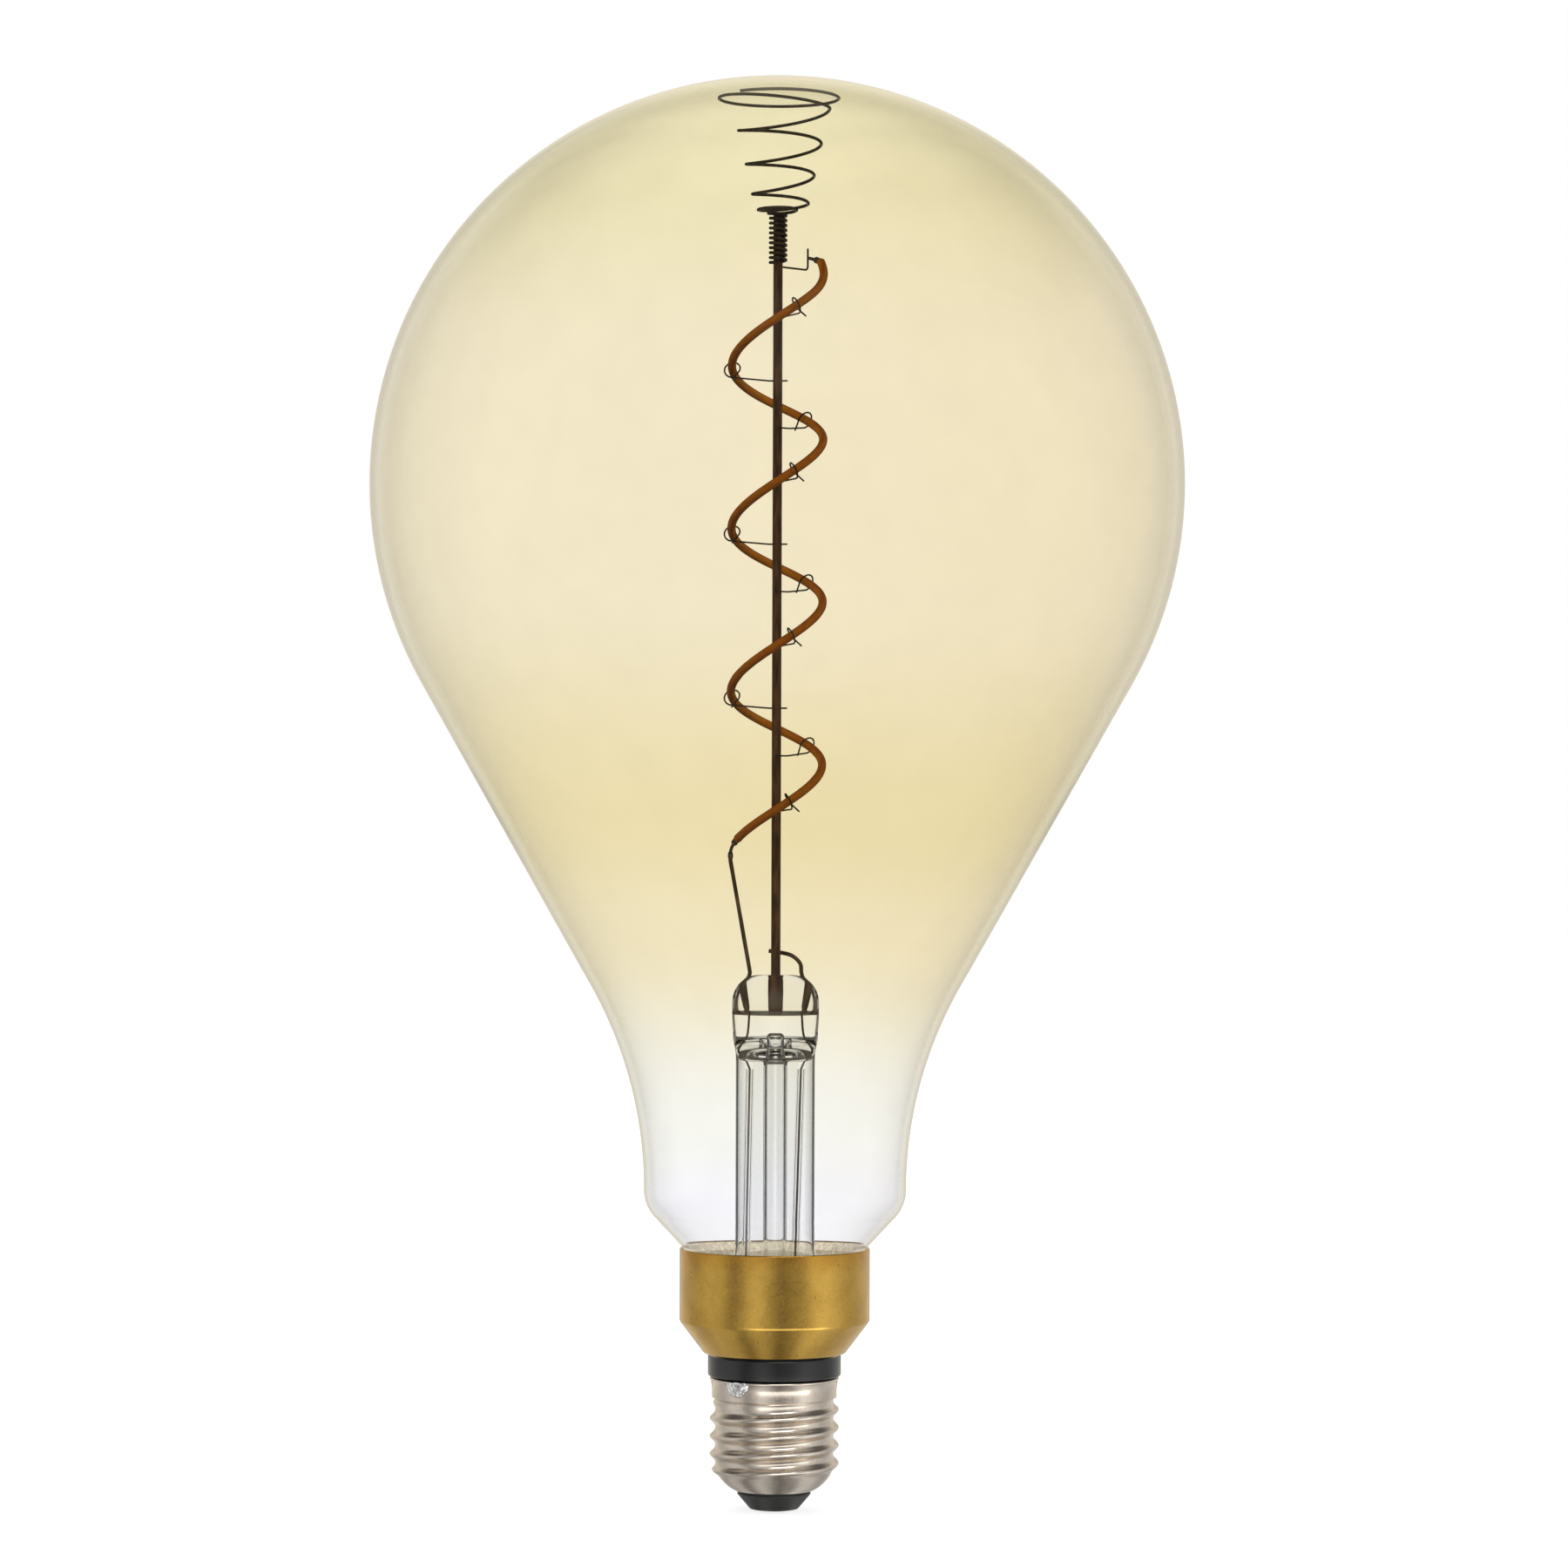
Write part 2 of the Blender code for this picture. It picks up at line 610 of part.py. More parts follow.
def rounded_corner(before, corner, after, radius, count=4):
    """The corner of an outline as an arc of the given radius, touching both its sides."""
    corner = Vector(corner)
    back = (Vector(before) - corner).normalized()
    ahead = (Vector(after) - corner).normalized()
    half = math.acos(max(-1, min(1, back.dot(ahead)))) / 2
    reach = radius / math.tan(half)
    middle = corner + (back + ahead).normalized() * (radius / math.sin(half))
    start = corner + back * reach - middle
    end = corner + ahead * reach - middle
    shares = [i / count for i in range(count + 1)]
    return [tuple(middle + start.lerp(end, t).normalized() * radius) for t in shares]


def collar_outline(inset):
    """The collar's surface from its rim down its cone to its foot, inset into the sheet."""
    slope = math.atan2(COLLAR_RADIUS - COLLAR_FOOT_RADIUS, COLLAR_CONE_HEIGHT)
    bend_z = collar_low_z + COLLAR_CONE_HEIGHT + inset * math.tan(slope / 2)
    foot_radius = COLLAR_FOOT_RADIUS + inset * (math.tan(slope) - 1 / math.cos(slope))
    rim = (COLLAR_RADIUS - inset, collar_top_z)
    bend = (COLLAR_RADIUS - inset, bend_z)
    foot = (foot_radius, collar_low_z + inset)
    return [rim, *rounded_corner(rim, bend, foot, COLLAR_BEND_RADIUS - inset), foot]


def make_brass_collar():
    brass = material("collar_brass", (0.38, 0.25, 0.07), 0.3, 1.0)
    profile = [
        *collar_outline(0),
        (collar_hole_radius, collar_low_z),
        (collar_hole_radius, collar_low_z + COLLAR_WALL),
        *collar_outline(COLLAR_WALL)[::-1],
    ]
    turned("brass_collar", profile, brass, GLOBE_STEPS)


def make_bulb_cement():
    cement = material("cap_cement", (0.42, 0.36, 0.27), 0.9)
    inner = spigot_radius + SEAT_GAP
    drop = SEAT_GAP / math.sin(SHOULDER_ANGLE)
    slope_drop = (rim_glass_radius - inner) / math.tan(SHOULDER_ANGLE)
    profile = [
        (rim_glass_radius, collar_top_z - drop),
        (rim_glass_radius, spigot_low_z),
        (inner, spigot_low_z),
        (inner, collar_top_z - drop - slope_drop),
    ]
    turned("bulb_cement", profile, cement, GLOBE_STEPS)


def stem_sections(inset, low, high, roof):
    """Rings of the stem's surface, inset into its wall, from the flared foot up to the press."""
    foot_radius = spigot_radius - GLASS_WALL - SEAT_GAP
    flare_top = low + STEM_FLARE_HEIGHT
    reach = foot_radius - STEM_TUBE_RADIUS
    rings = []
    for step in range(5, -1, -1):
        turn = math.pi / 2 * step / 5
        radius = foot_radius - (reach + inset) * math.cos(turn)
        rings.append(oval(flare_top - (STEM_FLARE_HEIGHT + inset) * math.sin(turn), radius, radius))
    tube = STEM_TUBE_RADIUS - inset
    press = (PRESS_WIDTH / 2 - 2 * inset, PRESS_THICKNESS / 2 - roof)
    squeeze = PRESS_HEIGHT / 2
    for step in range(5):
        share = step / 4
        eased = share * share * (3 - 2 * share)
        width = tube + (press[0] - tube) * eased
        depth = tube + (press[1] - tube) * eased
        rings.append(oval(high - squeeze * (1 - share), width, depth))
    return rings


def make_glass_stem():
    glass = material("clear_glass", (0.95, 0.95, 0.95), 0.02, transmission=1.0)
    foot_z = spigot_low_z + STEM_FOOT_RISE
    outer = stem_sections(0, foot_z, press_low_z + STEM_WALL, 0)
    for step in range(6):
        turn = math.pi / 2 * step / 5
        lean = PRESS_CORNER * (1 - math.cos(turn))
        height = stem_top_z - PRESS_CORNER * (1 - math.sin(turn))
        thin = PRESS_THICKNESS / 2 * (1 - 0.25 * (1 - math.cos(turn)))
        outer.append(oval(height, PRESS_WIDTH / 2 - lean, thin))
    obj = add_part("glass_stem", loft_mesh("glass_stem", outer), glass)
    bore = stem_sections(STEM_WALL, foot_z, press_low_z, PRESS_THICKNESS / 4)
    bore.insert(0, [(x, y, foot_z - 2 * STEM_FLARE_HEIGHT) for x, y, z in bore[0]])
    cut(obj, cutter("stem_bore", loft_mesh("stem_bore", bore)))
    mast_hole = MAST_RADIUS + SEAT_GAP
    above = stem_top_z + PRESS_CORNER
    mesh = cylinder_mesh("mast_socket", mast_hole, mast_low_z - SEAT_GAP, above)
    cut(obj, cutter("mast_socket", mesh))
    socket_top = press_low_z + EXHAUST_SOCKET + SEAT_GAP
    mesh = cylinder_mesh(
        "exhaust_socket", EXHAUST_RADIUS + SEAT_GAP, press_low_z - PRESS_HEIGHT / 2, socket_top
    )
    cut(obj, cutter("exhaust_socket", mesh))
    for side, name in ((-1, "left"), (1, "right")):
        centre = (side * LEAD_SPREAD, 0.0)
        weld_z = stem_top_z - LEAD_EMBED - SEAT_GAP
        wide = cylinder_mesh(f"lead_hole_{name}", LEAD_RADIUS + SEAT_GAP, weld_z, above, centre)
        cut(obj, cutter(f"lead_hole_{name}", wide))
        thin_radius = LEAD_THIN_RADIUS + SEAT_GAP
        low = press_low_z - PRESS_HEIGHT / 4
        thin = cylinder_mesh(f"thin_hole_{name}", thin_radius, low, weld_z + SEAT_GAP, centre)
        cut(obj, cutter(f"thin_hole_{name}", thin))


def make_exhaust_tube():
    glass = material("exhaust_glass", (0.93, 0.94, 0.94), 0.02, transmission=1.0)
    top = press_low_z + EXHAUST_SOCKET
    low = top - EXHAUST_LENGTH
    bore = EXHAUST_RADIUS - EXHAUST_WALL
    tip = arc((0, low + EXHAUST_RADIUS), EXHAUST_RADIUS, 0, -math.pi / 2, 4)
    hollow = arc((0, low + EXHAUST_RADIUS), bore, -math.pi / 2, 0, 3)
    profile = [
        (0.0, hollow[0][1]),
        *hollow[1:],
        (bore, top),
        (EXHAUST_RADIUS, top),
        *tip[:-1],
        (0.0, low),
    ]
    turned("exhaust_tube", profile, glass, SMALL_STEPS)


def make_mast_rod():
    mesh = cylinder_mesh("mast_rod", MAST_RADIUS, mast_low_z, mast_top_z)
    add_part("mast_rod", mesh, dark_wire("mast_steel"))


def ease(share):
    """A share from 0 to 1 that starts and ends gently, held outside that range."""
    held = min(max(share, 0), 1)
    return held * held * (3 - 2 * held)


def spring_point(turn):
    """The left-handed spring's centre line, turn counted from its lower end."""
    flange_turn = turn - SPRING_CLOSE_TURNS
    cone_turn = flange_turn - SPRING_FLANGE_TURNS
    ring_turn = cone_turn - SPRING_CONE_TURNS
    cone_low = mast_top_z + SPRING_FLANGE_RISE
    cone_top = spring_top_z - SPRING_RING_DROP
    grown = spring_growth ** min(max(cone_turn, 0), SPRING_CONE_TURNS)
    rise = (grown - 1) / (spring_growth**SPRING_CONE_TURNS - 1)
    if flange_turn <= 0:
        radius = spring_coil_radius
        height = spring_low_z + SPRING_PITCH * turn
    elif cone_turn <= 0:
        share = flange_turn / SPRING_FLANGE_TURNS
        radius = spring_coil_radius + (SPRING_CONE_RADIUS - spring_coil_radius) * share
        height = mast_top_z + SPRING_FLANGE_RISE * share
    elif ring_turn <= 0:
        radius = SPRING_CONE_RADIUS * grown
        height = cone_low + (cone_top - cone_low) * rise
    else:
        eased = ease(2 * ring_turn)
        cone_end = SPRING_CONE_RADIUS * grown
        lap = max(0, ring_turn - 0.5) / (SPRING_RING_TURNS - 0.5)
        radius = cone_end + (SPRING_RING_RADIUS - cone_end) * eased
        radius += lap * SPRING_WIRE_RADIUS
        height = cone_top + SPRING_RING_DROP * eased
    angle = -math.tau * cone_turn
    lean = SPRING_LEAN * ease(flange_turn / SPRING_FLANGE_TURNS) * (1 - ease(2 * ring_turn))
    return Vector((lean + radius * math.cos(angle), radius * math.sin(angle), height))


def make_support_spring():
    turns = SPRING_CLOSE_TURNS + SPRING_FLANGE_TURNS + SPRING_CONE_TURNS + SPRING_RING_TURNS
    open_turns = SPRING_FLANGE_TURNS + SPRING_CONE_TURNS
    count = round(turns * CURL_POINTS)
    points = [spring_point(turns * i / count) for i in range(count + 1)]
    wire("support_spring", points, SPRING_WIRE_RADIUS, dark_wire("spring_steel"))
    gap = least_gap(points, SPRING_WIRE_RADIUS, math.pi * spring_coil_radius)
    print(f"support_spring: {turns:.1f} turns, {open_turns:.1f} open, least gap {gap / MM:.2f} mm")


def filament_point(angle, radius=FILAMENT_COIL_RADIUS):
    """The right-handed filament's centre line, lifted at its top and carried on past its ends."""
    below_top = max(0, FILAMENT_TOP_ANGLE - angle)
    past_top = max(0, angle - FILAMENT_TOP_ANGLE)
    lift = FILAMENT_END_LIFT * max(0, 1 - below_top / FILAMENT_LIFT_ANGLE) ** 2
    height = filament_top_z - filament_pitch * below_top / math.tau + lift
    height += FILAMENT_END_SLOPE * FILAMENT_COIL_RADIUS * past_top
    height += FILAMENT_TILT * FILAMENT_COIL_RADIUS * math.cos(angle)
    return Vector((radius * math.cos(angle), radius * math.sin(angle), height))


def coil_angle(length):
    """The angle that a length of filament turns through."""
    return length * math.tau / math.hypot(math.tau * FILAMENT_COIL_RADIUS, filament_pitch)


def make_led_filament():
    amber = material("filament_silicone", (0.20, 0.055, 0.003), 0.45)
    count = round(FILAMENT_TURNS * LOOP_POINTS)
    sweep = FILAMENT_TURNS * math.tau
    points = [filament_point(filament_low_angle + sweep * i / count) for i in range(count + 1)]
    wire("led_filament", points, FILAMENT_RADIUS, amber)
    gap = least_gap(points, FILAMENT_RADIUS, math.pi * FILAMENT_COIL_RADIUS)
    print(f"led_filament: {FILAMENT_TURNS} turns, pitch {filament_pitch / MM:.1f} mm,"
          f" least gap {gap / MM:.2f} mm")


def terminal_angles(end_angle, way, length):
    """Angles along a terminal that starts a seat gap past the filament's end."""
    start = end_angle + way * coil_angle(SEAT_GAP)
    return [start + way * coil_angle(length) * share for share in (0, 0.5, 0.6, 1)]


def upper_terminal_angles():
    return terminal_angles(FILAMENT_TOP_ANGLE, 1, UPPER_TERMINAL_LENGTH)


def lower_terminal_angles():
    return terminal_angles(filament_low_angle, -1, LOWER_TERMINAL_LENGTH)


def make_terminals():
    tin = material("terminal_tin", (0.30, 0.28, 0.26), 0.4, 1.0)
    tail = TERMINAL_TAIL_RADIUS / TERMINAL_CRIMP_RADIUS
    shares = (1, 1, tail, tail)
    top = [filament_point(a) for a in upper_terminal_angles()]
    low = [filament_point(a) for a in lower_terminal_angles()]
    wire("filament_terminal_top", top, TERMINAL_CRIMP_RADIUS, tin, shares)
    wire("filament_terminal_bottom", low, TERMINAL_CRIMP_RADIUS, tin, shares)


def make_top_jumper():
    """From the mast, just under the spring, out and up past the upper terminal's end."""
    past = coil_angle(JUMPER_RADIUS + SEAT_GAP)
    angle = upper_terminal_angles()[-1] + past
    height = spring_low_z - SPRING_WIRE_RADIUS - SEAT_GAP - JUMPER_RADIUS
    out = Vector((math.cos(angle), math.sin(angle), 0))
    foot = Vector((0, 0, height))
    bend = 4 * JUMPER_RADIUS
    up = Vector((0, 0, 1))
    corner = foot + out * FILAMENT_COIL_RADIUS
    points = [
        foot + out * (MAST_RADIUS + SEAT_GAP),
        corner - out * bend,
        corner - out * bend * 0.3 + up * bend * 0.3,
        corner + up * bend,
        corner + up * JUMPER_RISE,
    ]
    wire("top_jumper_wire", points, JUMPER_RADIUS, dark_wire("jumper_steel"))


def hook_points(angle):
    """An anchor wire: past the mast, out under the filament, round it once and down to a tail."""
    out = Vector((math.cos(angle), math.sin(angle), 0))
    along = Vector((-math.sin(angle), math.cos(angle), 0))
    up = Vector((0, 0, 1))
    loop_radius = FILAMENT_RADIUS + HOOK_WIRE_RADIUS + 2 * SEAT_GAP
    step = 2 * HOOK_WIRE_RADIUS + WIRE_GAP
    climb = filament_pitch / (math.tau * FILAMENT_COIL_RADIUS)
    middle = filament_point(angle)
    weld = MAST_RADIUS + HOOK_WIRE_RADIUS + SEAT_GAP
    foot = up * (middle.z - loop_radius - HOOK_DROP)
    start = foot - along * weld - out * (MAST_RADIUS + HOOK_STUB)
    beside = foot - along * weld + out * 2 * MAST_RADIUS
    loop = []
    for i in range(13):
        turn = math.radians(-90 + 300 * i / 12)
        slide = step * (i / 12 - 0.5)
        centre = middle + (along + up * climb) * slide
        loop.append(centre + (out * math.cos(turn) + up * math.sin(turn)) * loop_radius)
    tail = loop[-1] + (loop[-1] - loop[-2]).normalized() * HOOK_TAIL + along * step / 2
    return [start, beside, *loop, tail]


def make_hooks():
    dark = dark_wire("hook_steel")
    sweep = FILAMENT_TURNS * math.tau - 2 * HOOK_END_ANGLE
    for k in range(HOOK_COUNT):
        angle = FILAMENT_TOP_ANGLE - HOOK_END_ANGLE - sweep * k / (HOOK_COUNT - 1)
        points = hook_points(angle)
        wire(f"filament_hook_{k + 1:02d}", points, HOOK_WIRE_RADIUS, dark)
    gap = least_gap(points, HOOK_WIRE_RADIUS, math.pi * FILAMENT_RADIUS)
    print(f"filament_hooks: {HOOK_COUNT}, least gap {gap / MM:.2f} mm")


def sleeve_ends(side):
    """The lower and upper end of a sleeve's centre line, from the board's top to below the press."""
    foot = LEAD_RIGHT_FOOT if side > 0 else LEAD_LEFT_FOOT
    low = Vector((side * foot, 0, board_top_z + SEAT_GAP))
    high = Vector((side * LEAD_SPREAD, 0, press_low_z - SLEEVE_DROP))
    return low, high


def lead_below(side):
    """The thin part of a lead-in: from its weld in the press, through its sleeve, to the board."""
    low, high = sleeve_ends(side)
    weld = Vector((side * LEAD_SPREAD, 0, stem_top_z - LEAD_EMBED))
    return [weld, high, low, low - Vector((0, 0, PART_MARGIN))]


def make_lead(name, above, side, dark):
    """One lead-in wire, thick down to its weld in the press and thin below it."""
    thin = lead_below(side)
    weld = thin[0] + Vector((0, 0, SEAT_GAP))
    points = [*above, weld, *thin]
    shares = [1.0] * (len(above) + 1) + [LEAD_THIN_RADIUS / LEAD_RADIUS] * len(thin)
    wire(name, points, LEAD_RADIUS, dark, shares)


def make_leads():
    dark = dark_wire("lead_steel")
    lower_terminal = filament_point(lower_terminal_angles()[-1])
    left_top = lower_terminal - Vector((0, 0, 2 * TERMINAL_TAIL_RADIUS + SEAT_GAP))
    left_low = Vector((-LEAD_SPREAD, 0, stem_top_z + LEAD_RADIUS))
    make_lead("lead_in_left", [left_top, left_low], -1, dark)
    weld_z = stem_top_z + LEAD_WELD_RISE
    beside = MAST_RADIUS + LEAD_RADIUS + SEAT_GAP
    knots = [
        (-MAST_RADIUS - LEAD_STUB, beside, weld_z + LEAD_STUB / 3),
        (0, beside, weld_z),
        (LEAD_SPREAD * 0.6, beside * 0.7, weld_z - LEAD_WELD_RISE * 0.15),
        (LEAD_SPREAD * 0.95, beside * 0.2, weld_z - LEAD_WELD_RISE * 0.5),
        (LEAD_SPREAD, 0, stem_top_z + LEAD_RADIUS),
    ]
    make_lead("lead_in_right", smooth_path(knots, 3), 1, dark)


def make_lead_sleeves():
    pale = material("sleeve_pale", (0.72, 0.70, 0.64), 0.6)
    inner = LEAD_THIN_RADIUS + SEAT_GAP
    outer = inner + SLEEVE_WALL
    for side, name in ((-1, "left"), (1, "right")):
        low, high = sleeve_ends(side)
        lean = high - low
        profile = [(outer, lean.length), (outer, 0), (inner, 0), (inner, lean.length)]
        obj = turned(f"lead_sleeve_{name}", profile, pale, SMALL_STEPS)
        obj.location = low
        obj.rotation_euler.y = math.atan2(lean.x, lean.z)


def make_driver_board():
    green = material("board_green", (0.02, 0.10, 0.05), 0.5)
    reach = housing_bore_radius - SEAT_GAP
    width = 2 * math.sqrt(reach**2 - board_front_y**2)
    centre = (0, (board_front_y + board_back_y) / 2, (board_low_z + board_top_z) / 2)
    block("driver_board", (width, BOARD_THICKNESS, BOARD_HEIGHT), centre, green)


def on_board(name, size, x, low, look, front):
    """A chip-like part seated on the board's front or back face."""
    off = SEAT_GAP + size[1] / 2
    y = board_front_y - off if front else board_back_y + off
    return block(name, size, (x, y, low + size[2] / 2), look)


def make_board_parts():
    black = material("chip_black", (0.02, 0.02, 0.02), 0.5)
    blue = material("radio_blue", (0.02, 0.05, 0.16), 0.5)
    steel = material("shield_steel", (0.55, 0.55, 0.54), 0.35, 1.0)
    back_low = board_low_z + CAPACITOR_HEIGHT / 2
    on_board("bridge_rectifier", RECTIFIER_SIZE, -PART_COLUMN, back_low, black, False)
    on_board("driver_chip", CHIP_SIZE, PART_COLUMN, back_low, black, False)
    radio_low = board_top_z - RADIO_SIZE[2]
    on_board("radio_module", RADIO_SIZE, 0, radio_low, blue, True)
    shield_y = board_front_y - RADIO_SIZE[1] - 2 * SEAT_GAP - SHIELD_SIZE[1] / 2
    shield_z = radio_low + PART_MARGIN + SHIELD_SIZE[2] / 2
    block("radio_shield", SHIELD_SIZE, (0, shield_y, shield_z), steel)


def make_round_board_parts():
    sleeve = material("capacitor_sleeve", (0.03, 0.03, 0.04), 0.4)
    copper = material("inductor_ferrite", (0.05, 0.05, 0.05), 0.7)
    resin = material("resistor_resin", (0.10, 0.22, 0.16), 0.5)
    bead = CAPACITOR_RADIUS / 6
    can = [
        (0, CAPACITOR_HEIGHT),
        (CAPACITOR_RADIUS - bead, CAPACITOR_HEIGHT),
        (CAPACITOR_RADIUS, CAPACITOR_HEIGHT - bead),
        (CAPACITOR_RADIUS, 3 * bead),
        (CAPACITOR_RADIUS - bead / 2, 2 * bead),
        (CAPACITOR_RADIUS, bead),
        (CAPACITOR_RADIUS - bead, 0),
        (0, 0),
    ]
    part_z = board_low_z + PART_MARGIN
    obj = turned("smoothing_capacitor", can, sleeve, SMALL_STEPS)
    obj.location = (CAPACITOR_RADIUS, board_front_y - SEAT_GAP - CAPACITOR_RADIUS, part_z)
    flange = INDUCTOR_HEIGHT / 6
    waist = INDUCTOR_RADIUS * 0.8
    drum = [
        (0, INDUCTOR_HEIGHT),
        (INDUCTOR_RADIUS, INDUCTOR_HEIGHT),
        (INDUCTOR_RADIUS, INDUCTOR_HEIGHT - flange),
        (waist, INDUCTOR_HEIGHT - flange),
        (waist, flange),
        (INDUCTOR_RADIUS, flange),
        (INDUCTOR_RADIUS, 0),
        (0, 0),
    ]
    obj = turned("driver_inductor", drum, copper, SMALL_STEPS)
    inductor_x = -INDUCTOR_RADIUS - PART_MARGIN
    obj.location = (inductor_x, board_front_y - SEAT_GAP - INDUCTOR_RADIUS, part_z)
    cap = RESISTOR_LENGTH / 6
    neck = RESISTOR_RADIUS * 0.85
    body = [
        (0, RESISTOR_LENGTH),
        (neck, RESISTOR_LENGTH),
        (RESISTOR_RADIUS, RESISTOR_LENGTH - cap / 2),
        (RESISTOR_RADIUS, RESISTOR_LENGTH - cap),
        (neck, RESISTOR_LENGTH - 1.5 * cap),
        (neck, 1.5 * cap),
        (RESISTOR_RADIUS, cap),
        (RESISTOR_RADIUS, cap / 2),
        (neck, 0),
        (0, 0),
    ]
    obj = turned("fusible_resistor", body, resin, SMALL_STEPS)
    resistor_z = board_low_z + CAPACITOR_HEIGHT / 2 + RECTIFIER_SIZE[2] + PART_MARGIN
    obj.location = (PART_COLUMN, board_back_y + SEAT_GAP + RESISTOR_RADIUS, resistor_z)


def make_supply_wires():
    red = material("live_red", (0.35, 0.03, 0.02), 0.5)
    pale = material("neutral_white", (0.65, 0.64, 0.60), 0.5)
    live_low = CONTACT_THICKNESS + SEAT_GAP
    live = [(0, 0, live_low), (0, 0, board_low_z + CAPACITOR_HEIGHT / 3)]
    wire("live_wire", live, SUPPLY_WIRE_RADIUS, red)
    across = Vector((math.cos(SOLDER_ANGLE), math.sin(SOLDER_ANGLE), 0))
    height = Vector((0, 0, ring_low_z + SUPPLY_WIRE_RADIUS + SEAT_GAP))
    pad_x = -housing_bore_radius * 0.6
    knots = [
        across * (RING_RADIUS - SEAT_GAP) + height,
        across * (housing_bore_radius - SUPPLY_WIRE_RADIUS) + height,
        Vector((pad_x, board_front_y * 3, height.z)),
        Vector((pad_x, board_front_y - SEAT_GAP, height.z)),
    ]
    wire("neutral_wire", smooth_path(knots, 3), SUPPLY_WIRE_RADIUS, pale)


make_envelope()
make_centre_contact()
make_base_insulator()
make_screw_shell()
make_shell_solder()
make_driver_housing()
make_brass_collar()
make_bulb_cement()
make_glass_stem()
make_exhaust_tube()
make_mast_rod()
make_support_spring()
make_led_filament()
make_terminals()
make_top_jumper()
make_hooks()
make_leads()
make_lead_sleeves()
make_driver_board()
make_board_parts()
make_round_board_parts()
make_supply_wires()
print(f"globe {2 * GLOBE_RADIUS / MM:.0f} mm across, {OVERALL_HEIGHT / MM:.0f} mm high")
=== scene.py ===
# %% [markdown]
# # A large amber filament lamp
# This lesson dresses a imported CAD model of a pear-shaped lamp: blown amber glass, a brass collar, a
# screw cap, and inside the glass a spiral LED filament that hangs on a mast. The CAD model gives
# every piece its place. Here each piece that shows is modelled again with a smooth surface, and gets
# a finish made of nodes. All sizes are metres, and +Z is up.

# %% Load the frame
import math

import bpy
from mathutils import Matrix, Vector


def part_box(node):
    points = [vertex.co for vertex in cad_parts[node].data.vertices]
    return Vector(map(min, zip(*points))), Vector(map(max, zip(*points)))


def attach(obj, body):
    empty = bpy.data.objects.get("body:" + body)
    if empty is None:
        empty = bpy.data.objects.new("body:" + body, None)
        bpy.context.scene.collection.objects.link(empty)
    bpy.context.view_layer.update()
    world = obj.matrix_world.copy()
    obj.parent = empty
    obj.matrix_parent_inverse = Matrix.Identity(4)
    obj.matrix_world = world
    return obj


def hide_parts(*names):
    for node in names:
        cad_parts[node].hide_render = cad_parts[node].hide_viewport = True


MM = 0.001
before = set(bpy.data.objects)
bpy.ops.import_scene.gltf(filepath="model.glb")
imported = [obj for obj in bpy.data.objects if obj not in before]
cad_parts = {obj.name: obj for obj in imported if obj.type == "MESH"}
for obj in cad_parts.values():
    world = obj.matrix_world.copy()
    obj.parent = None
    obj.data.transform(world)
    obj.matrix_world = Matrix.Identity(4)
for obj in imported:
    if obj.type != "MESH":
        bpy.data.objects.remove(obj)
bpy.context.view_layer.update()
print("CAD nodes:", len(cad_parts))

# %% [markdown]
# ## Sizes that come from the frame
# The CAD pieces already say how high and wide things are, so the main sizes are read from their
# boxes. What the boxes can't tell, such as the radius of a curve, is named in each step below.

# %% Read the main sizes
SEAT_GAP = 0.3 * MM


def heights(node):
    """The lowest and highest point of a CAD node."""
    low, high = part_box(node)
    return low.z, high.z


def radius_of(node):
    """The radius of a round CAD node, from its reach along +X."""
    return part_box(node)[1].x


glass_low, lamp_top = heights("glass_envelope")
globe_radius = radius_of("glass_envelope")
collar_low, collar_top = heights("brass_collar")
collar_radius = radius_of("brass_collar")
shell_low, shell_top = heights("screw_shell")
ring_radius = radius_of("driver_housing")
stem_low, stem_top = heights("glass_stem")
mast_low, mast_top = heights("mast_rod")
mast_radius = radius_of("mast_rod")
print(f"lamp {lamp_top / MM:.1f} mm high, globe {2 * globe_radius / MM:.1f} mm across")

# %% [markdown]
# ## Camera
# The photograph was taken from a little over a metre away with the lens level, about halfway up
# the lamp. A camera's view width at a distance is sensor width times distance over focal length,
# so the focal length follows from the width that the picture spans at the lamp. The lamp leans
# very slightly in the picture, which the camera's roll repeats.

# %% Place the camera
VIEW_WIDTH = 318 * MM
CAMERA_DISTANCE = 1060 * MM
CAMERA_HEIGHT = 147 * MM
CAMERA_SIDE = 1.56 * MM
CAMERA_ROLL = math.radians(-0.19)
SENSOR_WIDTH = 36
bpy.ops.object.select_all(action="DESELECT")
bpy.ops.object.camera_add(
    location=(CAMERA_SIDE, -CAMERA_DISTANCE, CAMERA_HEIGHT),
    rotation=(math.pi / 2, CAMERA_ROLL, 0),
)
camera = bpy.context.object
camera.data.sensor_width = SENSOR_WIDTH
camera.data.lens = SENSOR_WIDTH * CAMERA_DISTANCE / VIEW_WIDTH
bpy.context.scene.camera = camera
bpy.context.scene.view_settings.view_transform = "Standard"
print(f"lens {camera.data.lens:.1f} mm")

# %% [markdown]
# ## Small helpers for node trees
# A finish or a world is a tree of nodes. These helpers add a node with its settings and inputs in
# one call. An input is either a number or colour, or a socket of another node to link.

# %% Helpers for nodes


def node(tree, kind, inputs=None, **settings):
    """A new node, with its settings made first and then its inputs filled or linked."""
    made = tree.nodes.new(kind)
    for name, value in settings.items():
        setattr(made, name, value)
    for name, value in (inputs or {}).items():
        if isinstance(value, bpy.types.NodeSocket):
            tree.links.new(value, made.inputs[name])
        else:
            made.inputs[name].default_value = value
    return made


def maths(tree, operation, *values):
    return node(tree, "ShaderNodeMath", dict(enumerate(values)), operation=operation).outputs[0]


